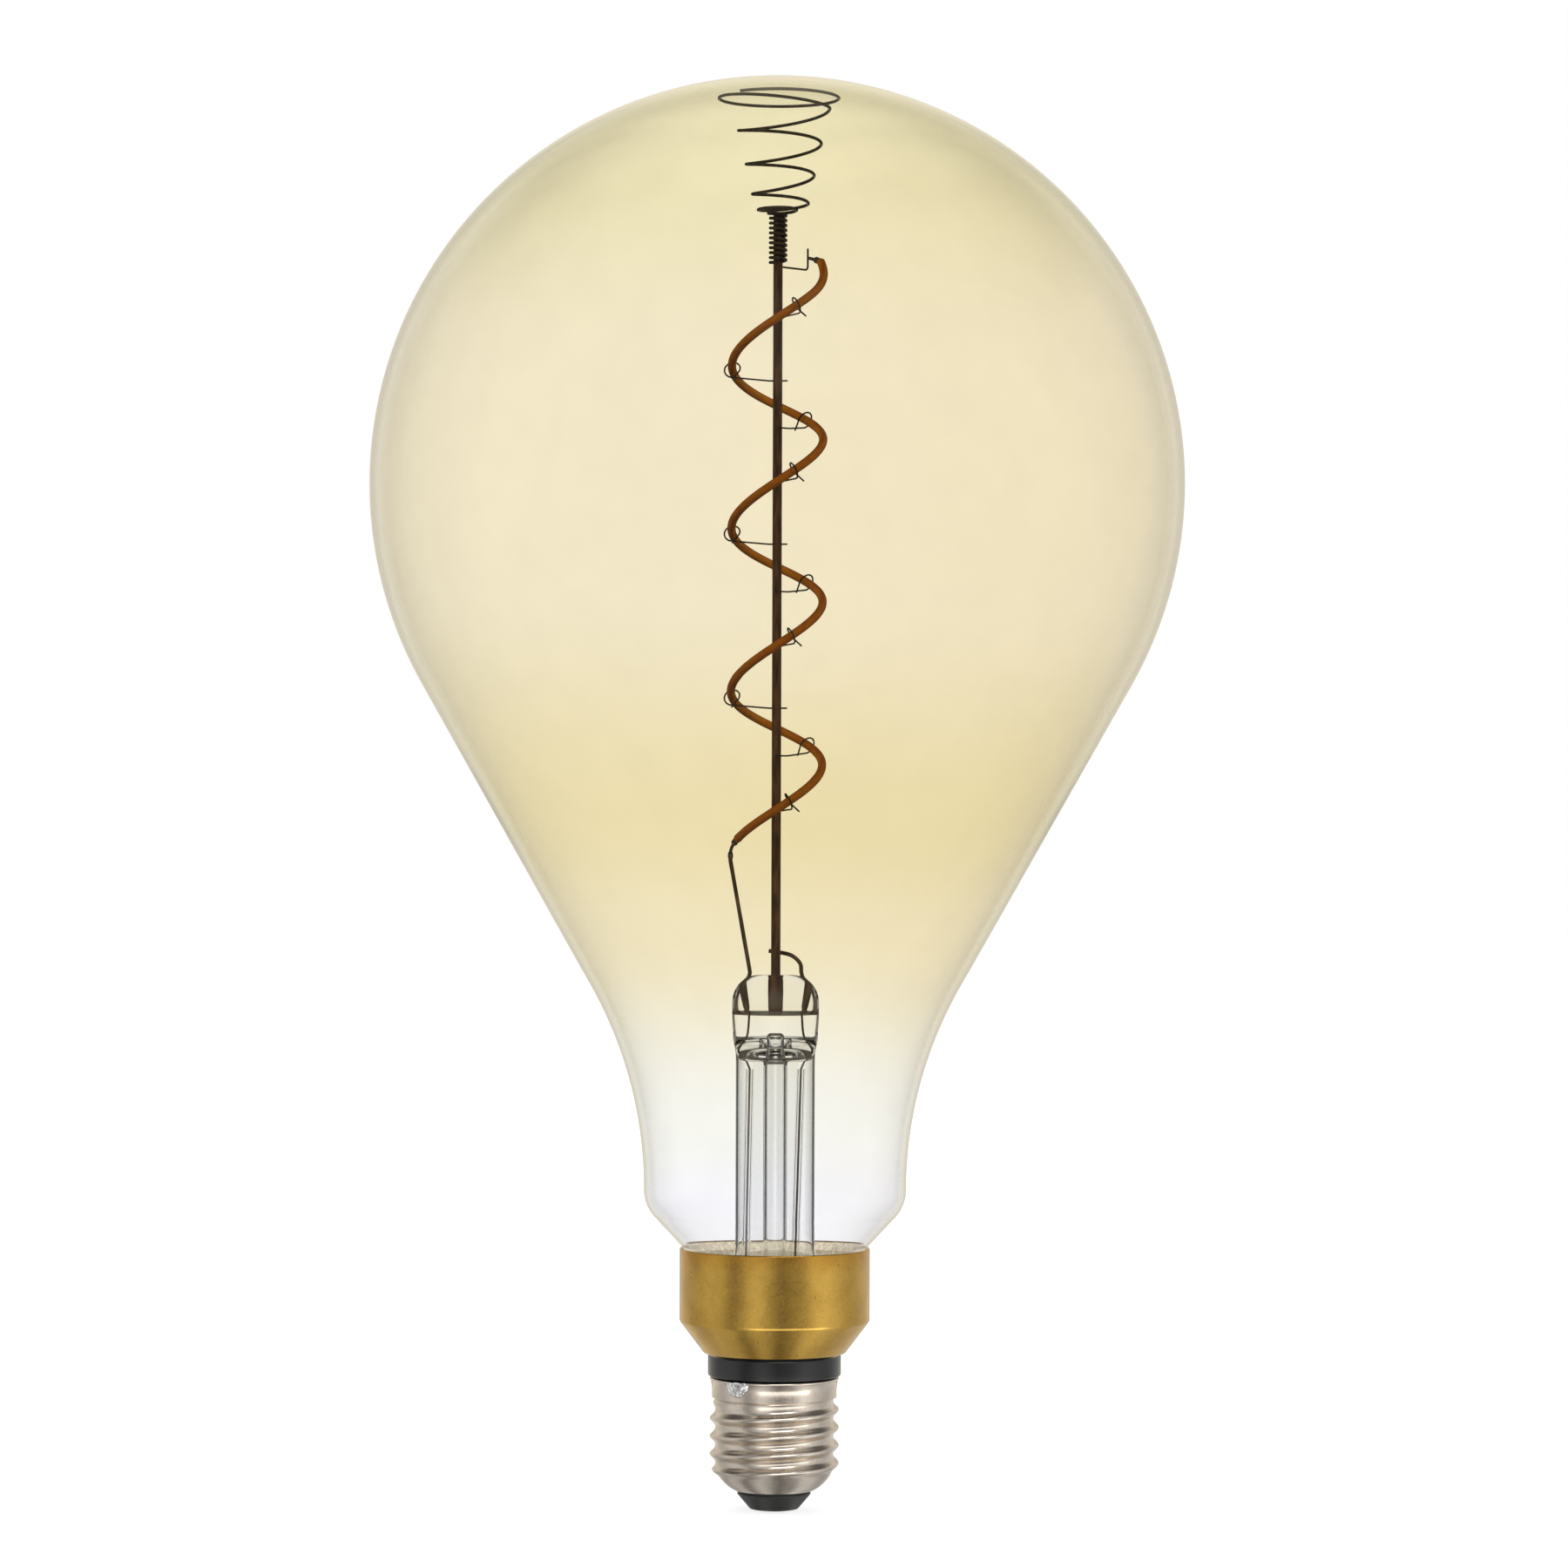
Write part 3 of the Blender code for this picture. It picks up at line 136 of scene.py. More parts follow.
def mixed(tree, factor, first, second, blend="MIX"):
    """Two colours mixed by a factor: sockets 6 and 7 are a Mix node's colours, output 2 its result."""
    inputs = {0: factor, 6: first, 7: second}
    made = node(tree, "ShaderNodeMix", inputs, data_type="RGBA", blend_type=blend)
    return made.outputs[2]


def product(tree, first, second):
    return mixed(tree, 1.0, first, second, "MULTIPLY")


def ramp(tree, value, *stops, interpolation="EASE"):
    """A colour ramp, each stop given as a place from 0 to 1 and a colour."""
    made = node(tree, "ShaderNodeValToRGB", {0: value})
    made.color_ramp.interpolation = interpolation
    elements = made.color_ramp.elements
    elements.remove(elements[1])
    elements[0].position, elements[0].color = stops[0]
    for place, colour in stops[1:]:
        elements.new(place).color = colour
    return made.outputs[0]


def between(tree, value, low, high, low_result, high_result):
    """A number carried from one range to another, held at its ends."""
    inputs = {0: value, 1: low, 2: high, 3: low_result, 4: high_result}
    return node(tree, "ShaderNodeMapRange", inputs).outputs[0]


def grey(level):
    return (level, level, level, 1)


WHITE = grey(1.0)


def tone(red, green, blue):
    """A screen colour of 0 to 255, made linear as shaders want it."""
    shares = [channel / 255 for channel in (red, green, blue)]
    linear = [s / 12.92 if s < 0.04045 else ((s + 0.055) / 1.055) ** 2.4 for s in shares]
    return (*linear, 1)


print("node helpers ready")

# %% [markdown]
# ## The studio
# Mirrored rays also see the floor darker close below the lamp, which is a painted shadow.
# Glass and metal show mostly what stands round them. A glass photograph is taken against a bright
# backdrop with a dim room to its sides. What comes straight through the glass is white, and what a
# glass wall throws to the side is dim, which draws the dark lines along the tubes' edges. Metal
# mirrors soft boxes with darker gaps between them, a key box above the camera and a low one before
# it. The Light Path node tells the rays apart: rays from the camera and rays straight through glass
# see white, unless the glass bends them far up. Rays that bounced on their way through see the warm
# back wall if they met only the outer globe, and otherwise a narrow backdrop in a dim room. Mirrored
# rays see the boxes, and all other rays get plain grey light.
#
# A direction is two numbers here. The turn starts at the back with 0 and goes over the left, 0.25,
# the camera's side, 0.5, and the right, 0.75, to the back again. The tilt is 0 straight down, 0.5
# level and 1 straight up. Each wall or box is a list of stops: a turn or a tilt, and its light there.

# %% Choose the lights of the studio
AMBIENT = grey(0.62)
ROOM_DIM = grey(0.08)
ROOM_WARM = (0.82, 0.795, 0.715, 1)
ROOM_EDGE = (0.65, 0.62, 0.53, 1)
ROOM_GAP = (0.75, 0.715, 0.62, 1)
ROOM_MIDDLE = (0.84, 0.785, 0.64, 1)
BACK_LIGHT = (ROOM_MIDDLE, ROOM_EDGE, ROOM_EDGE, ROOM_WARM, ROOM_WARM, ROOM_GAP)
BACK_TURNS = (0.008, 0.034, 0.048, 0.08, 0.098, 0.104)
BACK_LEFT = tuple(zip(BACK_TURNS, BACK_LIGHT))
BACK_RIGHT = tuple((1 - turn, light) for turn, light in reversed(BACK_LEFT))
LEFT_BOX = ((0.19, grey(0.60)), (0.27, grey(0.78)), (0.31, grey(0.78)))
FRONT_BOXES = ((0.36, grey(0.40)), (0.44, grey(0.92)), (0.53, grey(0.32)), (0.58, grey(0.50)))
RIGHT_BOX = ((0.65, grey(1.08)), (0.79, grey(0.62)), (0.87, grey(0.74)))
# Painted shadow: mirrors see the floor darker straight down, close under the lamp, as if its own shadow
# lay there.
FLOOR_WITH_PAINTED_SHADOW = ((0.00, grey(0.66)), (0.05, grey(0.74)), (0.16, WHITE))
FRONT_SKY_FADE = ((0.64, WHITE), (0.74, grey(0.72)))
BACK_SKY_FADE = ((0.69, WHITE), (0.84, grey(0.18)))
BENT_SKY_FADE = ((0.62, WHITE), (0.75, ROOM_DIM))
NARROW_BACKDROP = ((0.93, ROOM_DIM), (0.975, grey(0.35)), (0.992, WHITE))
BACK_BLEND = 0.2
KEY_LIGHT = grey(2.6)
KEY_TURNS = (0.46, 0.49, 0.60, 0.63)
KEY_TILTS = (0.66, 0.71, 0.88, 0.92)
LOW_LIGHT = grey(1.2)
LOW_TURNS = (0.40, 0.45, 0.66, 0.70)
LOW_TILTS = (0.14, 0.19, 0.30, 0.36)
OUTER_WALL_PASSES = 3
print(f"back wall reaches {BACK_TURNS[-1] * 360:.0f} degrees to each side")

# %% Say what each ray sees


def one_box(tree, turn, turn_stops, tilt, tilt_stops, light):
    """A soft-edged box of light: each four stops say where it starts, is full, and ends."""
    levels = (grey(0), WHITE, WHITE, grey(0))
    wide = ramp(tree, turn, *zip(turn_stops, levels))
    high = ramp(tree, tilt, *zip(tilt_stops, levels))
    return product(tree, product(tree, wide, high), light)


def mirrored_studio(tree, turn, tilt, behind, back_fade):
    """The walls and boxes that a mirror shows, where behind is 1 on the back's side."""
    boxes = ramp(tree, turn, *BACK_LEFT, *LEFT_BOX, *FRONT_BOXES, *RIGHT_BOX, *BACK_RIGHT)
    front_fade = ramp(tree, tilt, *FLOOR_WITH_PAINTED_SHADOW, *FRONT_SKY_FADE)
    walls = product(tree, boxes, mixed(tree, behind, front_fade, back_fade))
    key = one_box(tree, turn, KEY_TURNS, tilt, KEY_TILTS, KEY_LIGHT)
    low = one_box(tree, turn, LOW_TURNS, tilt, LOW_TILTS, LOW_LIGHT)
    return mixed(tree, 1.0, walls, mixed(tree, 1.0, key, low, "ADD"), "ADD")


def surroundings(tree, direction):
    """What rays see in a direction, with the shares of camera rays and of glass or mirror rays."""
    path = node(tree, "ShaderNodeLightPath")
    camera_share = path.outputs["Is Camera Ray"]
    through = path.outputs["Is Transmission Ray"]
    axes = node(tree, "ShaderNodeSeparateXYZ", {0: direction})
    towards = maths(tree, "MULTIPLY", axes.outputs["Y"], -1.0)
    angle = maths(tree, "ARCTAN2", axes.outputs["X"], towards)
    turn = maths(tree, "MULTIPLY_ADD", angle, 1 / math.tau, 0.5)
    tilt = maths(tree, "MULTIPLY_ADD", axes.outputs["Z"], 0.5, 0.5)
    sideways = maths(tree, "ABSOLUTE", axes.outputs["X"])
    straight = maths(tree, "MAXIMUM", sideways, maths(tree, "ABSOLUTE", axes.outputs["Y"]))
    backdrop = ramp(tree, straight, *NARROW_BACKDROP)
    back_fade = ramp(tree, tilt, *FLOOR_WITH_PAINTED_SHADOW, *BACK_SKY_FADE)
    back_wall = product(tree, ramp(tree, turn, *BACK_LEFT, *BACK_RIGHT), back_fade)
    inside = maths(tree, "GREATER_THAN", path.outputs["Transmission Depth"], OUTER_WALL_PASSES)
    bounced = maths(tree, "MINIMUM", path.outputs["Glossy Depth"], 1.0)
    bent_up = ramp(tree, tilt, *BENT_SKY_FADE)
    beyond = mixed(tree, bounced, bent_up, mixed(tree, inside, back_wall, backdrop))
    behind = between(tree, axes.outputs["Y"], -BACK_BLEND, BACK_BLEND, 0.0, 1.0)
    colour = mixed(tree, through, mirrored_studio(tree, turn, tilt, behind, back_fade), beyond)
    colour = mixed(tree, camera_share, colour, WHITE)
    bent = maths(tree, "MAXIMUM", through, path.outputs["Is Glossy Ray"])
    return colour, camera_share, bent


print("studio walls and boxes ready")

# %% Build the world
world = bpy.data.worlds.new("studio")
bpy.context.scene.world = world
world.use_nodes = True
studio = world.node_tree
studio.nodes.clear()
ray = node(studio, "ShaderNodeTexCoord").outputs["Generated"]
seen, camera_share, bent_share = surroundings(studio, ray)
direct = maths(studio, "MAXIMUM", camera_share, bent_share)
lit = mixed(studio, direct, AMBIENT, seen)
sky = node(studio, "ShaderNodeBackground", {"Color": lit, "Strength": 1.0})
node(studio, "ShaderNodeOutputWorld", {"Surface": sky.outputs[0]})
print("world nodes:", len(studio.nodes))

# %% [markdown]
# ## Floor and lamps
# The floor is a pale disc that glows just enough to look white to the camera, with some plain
# diffuse white added so that it keeps a faint shadow. Rays by mirror or glass see the studio in
# it, by the direction from a point low on the object, so that no horizon shows. Close round the
# lamp's foot that studio floor is darker, a painted shadow of the lamp. Large area lamps light
# the object softly. They stay out of mirrored rays, so that metal shows only the studio's boxes.

# %% Make the floor
FLOOR_RADIUS = 3.0
FLOOR_DROP = 0.2 * MM
FLOOR_GLOW = 0.8
FLOOR_NEAR = 0.1
FLOOR_FAR = 0.4
FLOOR_PAINT = 0.5
FLOOR_CAMERA_PAINT = 1.3 * (1 - FLOOR_GLOW)
STUDIO_MIDDLE = 40 * MM
bpy.ops.object.select_all(action="DESELECT")
bpy.ops.mesh.primitive_circle_add(
    vertices=96, radius=FLOOR_RADIUS, fill_type="NGON", location=(0, 0, -FLOOR_DROP)
)
floor = bpy.context.object
floor.name = "studio_floor"
floor_look = bpy.data.materials.new("floor_white")
floor_look.use_nodes = True
floor_tree = floor_look.node_tree
floor_tree.nodes.clear()
lowered = {0: node(floor_tree, "ShaderNodeTexCoord").outputs["Object"], 1: (0, 0, STUDIO_MIDDLE)}
from_foot = node(floor_tree, "ShaderNodeVectorMath", lowered, operation="SUBTRACT").outputs[0]
outwards = node(floor_tree, "ShaderNodeVectorMath", {0: from_foot}, operation="NORMALIZE").outputs[0]
seen, camera_share, bent_share = surroundings(floor_tree, outwards)
away = node(floor_tree, "ShaderNodeVectorMath", {0: from_foot}, operation="LENGTH").outputs["Value"]
camera_glow = between(floor_tree, away, FLOOR_NEAR, FLOOR_FAR, FLOOR_GLOW, 1.0)
glow = maths(floor_tree, "MULTIPLY_ADD", camera_share, camera_glow, bent_share)
emission = node(floor_tree, "ShaderNodeEmission", {"Color": seen, "Strength": glow})
paint = mixed(floor_tree, camera_share, grey(FLOOR_PAINT), grey(FLOOR_CAMERA_PAINT))
paint = mixed(floor_tree, bent_share, paint, grey(0))
diffuse = node(floor_tree, "ShaderNodeBsdfDiffuse", {"Color": paint})
both = node(floor_tree, "ShaderNodeAddShader", {0: emission.outputs[0], 1: diffuse.outputs[0]})
node(floor_tree, "ShaderNodeOutputMaterial", {"Surface": both.outputs[0]})
floor.data.materials.append(floor_look)
print(f"floor {2 * FLOOR_RADIUS:.0f} m across")

# %% Hang the lamps
LAMP_SIZE = 0.9
LAMPS = {
    "key_lamp": ((-0.9, -0.9, 1.3), 14),
    "fill_lamp": ((1.1, -0.7, 0.9), 9),
    "back_lamp": ((0.2, 1.2, 1.1), 8),
}
GLASS_BOUNCES = 32
MIRROR_BOUNCES = 12


def area_lamp(name, place, power):
    """A square soft lamp that points at the middle of the object."""
    bpy.ops.object.select_all(action="DESELECT")
    bpy.ops.object.light_add(type="AREA", location=place)
    lamp = bpy.context.object
    lamp.name = name
    lamp.data.size = LAMP_SIZE
    lamp.data.energy = power
    aim = Vector((0, 0, lamp_top / 2)) - Vector(place)
    lamp.rotation_euler = aim.to_track_quat("-Z", "Y").to_euler()
    lamp.visible_glossy = False
    lamp.visible_transmission = False


for name, (place, power) in LAMPS.items():
    area_lamp(name, place, power)
scene_cycles = bpy.context.scene.cycles
scene_cycles.max_bounces = GLASS_BOUNCES
scene_cycles.transmission_bounces = GLASS_BOUNCES
scene_cycles.glossy_bounces = MIRROR_BOUNCES
print("lamps placed:", len(LAMPS))

# %% [markdown]
# ## Tracing and turning a profile
# Most pieces of a lamp are turned: half of the cross-section goes once round the axis. By hand you
# would place one vertex, extrude it from point to point along the profile, and use Spin. A Screw
# modifier does the same, but Spin leaves a plain mesh at once. Round stretches come from a helper
# that gives points along an arc.

# %% Helpers for turned pieces


def arc(centre, radius, start, end, count):
    """Points (r, z) along an arc, ends included; angles in degrees from +r towards +z."""
    angles = [math.radians(start + (end - start) * i / count) for i in range(count + 1)]
    return [(centre[0] + radius * math.cos(a), centre[1] + radius * math.sin(a)) for a in angles]


def trace(name, outline):
    """One vertex extruded from point to point of an outline; it leaves edit mode on."""
    bpy.ops.object.select_all(action="DESELECT")
    bpy.ops.mesh.primitive_plane_add(size=MM, location=(outline[0][0], 0, outline[0][1]))
    piece = bpy.context.object
    piece.name = name
    bpy.ops.object.transform_apply(location=True, rotation=False, scale=False)
    bpy.ops.object.mode_set(mode="EDIT")
    bpy.ops.mesh.select_all(action="SELECT")
    bpy.ops.mesh.merge(type="CENTER")
    for start, end in zip(outline, outline[1:]):
        step = (end[0] - start[0], 0, end[1] - start[1])
        bpy.ops.mesh.extrude_vertices_move(TRANSFORM_OT_translate={"value": step})
    return piece


def merge_and_face_out():
    """In edit mode: weld what meets and turn all faces outwards."""
    bpy.ops.mesh.select_all(action="SELECT")
    bpy.ops.mesh.remove_doubles(threshold=0.001 * MM)
    bpy.ops.mesh.normals_make_consistent(inside=False)
    bpy.ops.object.mode_set(mode="OBJECT")


def turned(name, outline, steps=128):
    """An outline in the XZ plane spun once round the lamp's axis."""
    piece = trace(name, outline)
    bpy.ops.mesh.select_all(action="SELECT")
    bpy.ops.mesh.spin(steps=steps, angle=math.tau, center=(0, 0, 0), axis=(0, 0, 1))
    merge_and_face_out()
    return piece


def turned_ring(name, section, steps=128):
    """As turned, for a closed section that doesn't reach the axis."""
    return turned(name, [*section, section[0]], steps)


def add_wall(piece, thickness):
    """Give an open surface a wall that grows inwards."""
    wall = piece.modifiers.new("wall", "SOLIDIFY")
    wall.thickness = thickness
    wall.offset = -1
    wall.use_even_offset = True
    bpy.ops.object.modifier_apply(modifier=wall.name)


print("turning helpers ready")

# %% Helpers to finish a piece


def let_light_in(piece):
    """Clear glass hardly shades what is inside it, so lamps and bounced light pass through."""
    piece.visible_shadow = False
    piece.visible_diffuse = False


def put_on(piece, finish, slot, *nodes, angle=40):
    """Smooth a finished piece, give it its finish and let it stand for its CAD nodes."""
    bpy.ops.object.select_all(action="DESELECT")
    piece.select_set(True)
    bpy.context.view_layer.objects.active = piece
    bpy.ops.object.shade_smooth_by_angle(angle=math.radians(angle))
    piece.data.materials.clear()
    piece.data.materials.append(finish)
    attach(piece, "root")
    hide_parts(*nodes)
    print(f"{piece.name}: {len(piece.data.polygons)} faces for {', '.join(nodes)}")


print("piece helpers ready")

# %% [markdown]
# ## Helpers for finishes
# Every finish is a Principled shader. What varies over the surface, such as colour, roughness and
# small bumps, comes from noise on Object coordinates, so it stays on the piece from any side.

# %% Helpers for finishes


def new_finish(name, roughness, metallic=0.0, transmission=0.0, ior=1.5):
    """A Principled finish with its constant values set; returns it with its tree and shader."""
    finish = bpy.data.materials.new(name)
    finish.use_nodes = True
    shader = finish.node_tree.nodes["Principled BSDF"]
    shader.inputs["Roughness"].default_value = roughness
    shader.inputs["Metallic"].default_value = metallic
    shader.inputs["Transmission Weight"].default_value = transmission
    shader.inputs["IOR"].default_value = ior
    return finish, finish.node_tree, shader


def object_place(tree):
    return node(tree, "ShaderNodeTexCoord").outputs["Object"]


def noise(tree, size, detail=3.0, stretch=(1, 1, 1)):
    """Noise whose lumps are about the given size in metres, stretched along the axes."""
    scale = node(tree, "ShaderNodeMapping", {0: object_place(tree), "Scale": stretch})
    inputs = {"Vector": scale.outputs[0], "Scale": 1 / size, "Detail": detail}
    return node(tree, "ShaderNodeTexNoise", inputs).outputs[0]


def set_colour(tree, shader, colour):
    tree.links.new(colour, shader.inputs["Base Color"])


def set_roughness(tree, shader, value):
    tree.links.new(value, shader.inputs["Roughness"])


def set_bump(tree, shader, height, depth, strength=1.0):
    """Bumps of the given depth in metres from a height of 0 to 1."""
    inputs = {"Height": height, "Distance": depth, "Strength": strength}
    bump = node(tree, "ShaderNodeBump", inputs)
    tree.links.new(bump.outputs[0], shader.inputs["Normal"])


print("finish helpers ready")

# %% [markdown]
# ## The amber globe
# The envelope is one blown bulb: a round dome, a straight cone, a neck that curves inwards, and a
# shoulder that dips into the collar. Its outline is three arcs and a line that touches two of
# them, so it is traced and turned. Solidify then makes the thin glass wall. The inside is coated
# with amber that is deepest over the cone and fades out at the neck.

# %% Turn the globe
GLASS_WALL = 0.9 * MM
NECK_RADIUS = 26.6 * MM
NECK_CURVE_RADIUS = 84 * MM
SHOULDER_RADIUS = 8 * MM
SHOULDER_ANGLE = 43
SPIGOT_FILLET = 2 * MM
COLLAR_WALL = 0.45 * MM
CEMENT_THICKNESS = 1.4 * MM

glass_at_rim = collar_radius - COLLAR_WALL - SEAT_GAP
spigot_radius = glass_at_rim - CEMENT_THICKNESS - SEAT_GAP
slope = math.radians(SHOULDER_ANGLE)
shoulder_end = NECK_RADIUS - SHOULDER_RADIUS * (1 - math.cos(slope))
shoulder_rise = (shoulder_end - glass_at_rim) / math.tan(slope)
neck_low = collar_top + shoulder_rise + SHOULDER_RADIUS * math.sin(slope)
fillet_reach = spigot_radius + SPIGOT_FILLET * (1 - math.cos(slope))
fillet_high = collar_top - (glass_at_rim - fillet_reach) / math.tan(slope)
spigot_top = fillet_high - SPIGOT_FILLET * math.sin(slope)
globe_middle = lamp_top - globe_radius

across = NECK_RADIUS + NECK_CURVE_RADIUS
apart = math.hypot(across, globe_middle - neck_low)
cone_slope = math.atan2(globe_middle - neck_low, across) - math.acos(
    (globe_radius + NECK_CURVE_RADIUS) / apart
)
cone_degrees = math.degrees(cone_slope)

dome = arc((0, globe_middle), globe_radius, 90, -cone_degrees, 72)
globe_outline = [
    (0.0, lamp_top),
    *dome[1:],
    *arc((across, neck_low), NECK_CURVE_RADIUS, 180 - cone_degrees, 180, 28),
    *arc((NECK_RADIUS - SHOULDER_RADIUS, neck_low), SHOULDER_RADIUS, 0, -SHOULDER_ANGLE, 16)[1:],
    *arc((spigot_radius + SPIGOT_FILLET, spigot_top), SPIGOT_FILLET, 180 - SHOULDER_ANGLE, 180, 8),
    (spigot_radius, glass_low),
]
globe = turned("amber_globe", globe_outline, steps=160)
add_wall(globe, GLASS_WALL)
print(f"cone slope {cone_degrees:.1f} degrees, neck starts at {neck_low / MM:.1f} mm")

# %% [markdown]
# ### Amber glass
# Clear glass is a Principled shader with full transmission. Its colour tints what shines through,
# once for each wall, so it stays pale. Height drives the coat's depth, and broad noise makes it
# uneven, as a sprayed coat is. The coat is also a little deeper on one side. The glass has a low
# Specular Tint and a lower IOR than real glass, because the studio leaves hardly any reflections on
# its front.

# %% Finish of the globe
COAT_FADES_AT = 62 * MM
COAT_TOP = lamp_top
DEEPER_SIDE = (0.99, 0.98, 0.96, 1)


def amber_glass():
    """Glass with an amber coat by height, given as the tint of one wall."""
    finish, tree, shader = new_finish("amber_glass", 0.0, transmission=1.0, ior=1.3)
    shader.inputs["Specular Tint"].default_value = grey(0.2)
    axes = node(tree, "ShaderNodeSeparateXYZ", {0: object_place(tree)})
    wander = between(tree, noise(tree, 40 * MM, detail=2.0), 0.0, 1.0, -0.03, 0.03)
    rise = between(tree, axes.outputs["Z"], COAT_FADES_AT, COAT_TOP, 0.0, 1.0)
    depth = maths(tree, "ADD", rise, wander)
    coat = ramp(
        tree,
        depth,
        (0.00, (0.98, 0.98, 1.00, 1)),
        (0.07, (0.98, 0.98, 0.95, 1)),
        (0.24, (0.95, 0.895, 0.73, 1)),
        (0.34, (0.93, 0.865, 0.66, 1)),
        (0.54, (0.955, 0.905, 0.765, 1)),
        (0.76, (0.955, 0.905, 0.765, 1)),
        (0.92, (0.945, 0.90, 0.71, 1)),
        (0.95, (1.0, 0.955, 0.765, 1)),
    )
    one_side = between(tree, axes.outputs["X"], -20 * MM, 50 * MM, 0.0, 1.0)
    coat = mixed(tree, one_side, coat, product(tree, coat, DEEPER_SIDE))
    mottle = ramp(tree, noise(tree, 9 * MM, detail=4.0), (0.3, grey(0.985)), (0.7, WHITE))
    set_colour(tree, shader, product(tree, coat, mottle))
    return finish


let_light_in(globe)
put_on(globe, amber_glass(), "amber_glass", "glass_envelope")

# %% [markdown]
# ## The brass collar
# The collar is thin sheet, pressed into a cylinder with a cone below. Its edges catch the light
# where the sheet is bent, so the bends and the rolled rim are real arcs. The section is traced
# down the outside and back up the inside.

# %% Turn the collar
COLLAR_FOOT_RADIUS = 14.3 * MM
COLLAR_CONE_HEIGHT = 6.6 * MM
COLLAR_BEND_RADIUS = 1.2 * MM
COLLAR_LIP_RADIUS = 0.2 * MM
COLLAR_FOOT_ROUND = 0.9 * MM
THREAD_ROOT_RADIUS = 12.0 * MM
SHELL_WALL = 0.4 * MM
shell_bore = THREAD_ROOT_RADIUS - SHELL_WALL


def rounded(before, corner, after, radius, count=8):
    """A corner of an outline as an arc that touches both its sides."""
    corner = Vector(corner)
    back = (Vector(before) - corner).normalized()
    ahead = (Vector(after) - corner).normalized()
    half = back.angle(ahead) / 2
    middle = corner + (back + ahead).normalized() * (radius / math.sin(half))
    start = corner + back * (radius / math.tan(half)) - middle
    end = corner + ahead * (radius / math.tan(half)) - middle
    shares = [i / count for i in range(count + 1)]
    return [tuple(middle + start.lerp(end, t).normalized() * radius) for t in shares]


def collar_section():
    """The collar's sheet, down its outside and up its inside, with a hole as wide as the shell's bore."""
    lean = math.atan2(collar_radius - COLLAR_FOOT_RADIUS, COLLAR_CONE_HEIGHT)
    inner_bend = collar_low + COLLAR_CONE_HEIGHT + COLLAR_WALL * math.tan(lean / 2)
    inner_foot = COLLAR_FOOT_RADIUS + COLLAR_WALL * (math.tan(lean) - 1 / math.cos(lean))
    rim = (collar_radius, collar_top)
    rim_in = (collar_radius - COLLAR_WALL, collar_top)
    bend = (collar_radius, collar_low + COLLAR_CONE_HEIGHT)
    bend_in = (collar_radius - COLLAR_WALL, inner_bend)
    foot = (COLLAR_FOOT_RADIUS, collar_low)
    foot_in = (inner_foot, collar_low + COLLAR_WALL)
    return [
        *rounded(rim_in, rim, bend, COLLAR_LIP_RADIUS, count=4),
        *rounded(rim, bend, foot, COLLAR_BEND_RADIUS),
        *rounded(bend, foot, (shell_bore, collar_low), COLLAR_FOOT_ROUND, count=4),
        (shell_bore, collar_low),
        (shell_bore, collar_low + COLLAR_WALL),
        foot_in,
        *rounded(foot_in, bend_in, rim_in, COLLAR_BEND_RADIUS - COLLAR_WALL),
        *rounded(bend_in, rim_in, rim, COLLAR_LIP_RADIUS, count=4),
    ]


collar = turned_ring("collar_sheet", collar_section(), steps=160)
print("collar faces:", len(collar.data.polygons))

# %% [markdown]
# ### Satin brass
# The brass is old gold, satin and slightly tarnished: fine grain, darker freckles and a few pits.
# Fine noise varies the colour and the roughness, and a sparser noise makes the freckles. The collar
# stays out of mirrored rays, because the thread below it would otherwise show golden lines.

# %% Finish of the collar
RIM_ZONE = 4 * MM
RIM_TONE = (0.92, 0.78, 0.62, 1)


def satin_brass(name, colour, dark):
    """Brass with grain and freckles, darker and redder in a narrow zone under the collar's rim."""
    finish, tree, shader = new_finish(name, 0.2, metallic=1.0)
    height = node(tree, "ShaderNodeSeparateXYZ", {0: object_place(tree)}).outputs["Z"]
    at_rim = between(tree, height, collar_top - RIM_ZONE, collar_top, 0.0, 1.0)
    grain = noise(tree, 0.5 * MM, detail=5.0)
    cloud = noise(tree, 6 * MM, detail=3.0)
    freckle = noise(tree, 1.0 * MM, detail=2.0)
    base = ramp(tree, grain, (0.30, dark), (0.55, colour))
    cloudy = ramp(tree, cloud, (0.35, (0.86, 0.83, 0.80, 1)), (0.65, WHITE))
    spots = ramp(tree, freckle, (0.22, grey(0.62)), (0.30, WHITE), (0.72, WHITE), (0.80, grey(1.25)))
    spotted = product(tree, product(tree, base, cloudy), spots)
    set_colour(tree, shader, mixed(tree, at_rim, spotted, RIM_TONE, "MULTIPLY"))
    set_roughness(tree, shader, between(tree, grain, 0.3, 0.7, 0.17, 0.25))
    set_bump(tree, shader, grain, 0.002 * MM)
    return finish


BRASS = (0.60, 0.372, 0.078, 1)
BRASS_DARK = (0.54, 0.328, 0.066, 1)
collar.visible_glossy = False
put_on(collar, satin_brass("collar_brass", BRASS, BRASS_DARK), "collar_brass", "brass_collar", angle=30)

# %% [markdown]
# ## Cement between glass and collar
# The glass is held in the collar by a ring of beige cement with a ragged top, which shows through
# the glass just above the brass. It is a turned ring, and a Displace modifier with a cloud
# texture roughens it.

# %% Turn the cement
CEMENT_ROUGHNESS = 0.2 * MM
CEMENT_LUMP = 1.6 * MM
CEMENT_GAP = 0.08 * MM
CEMENT_ROWS = 6


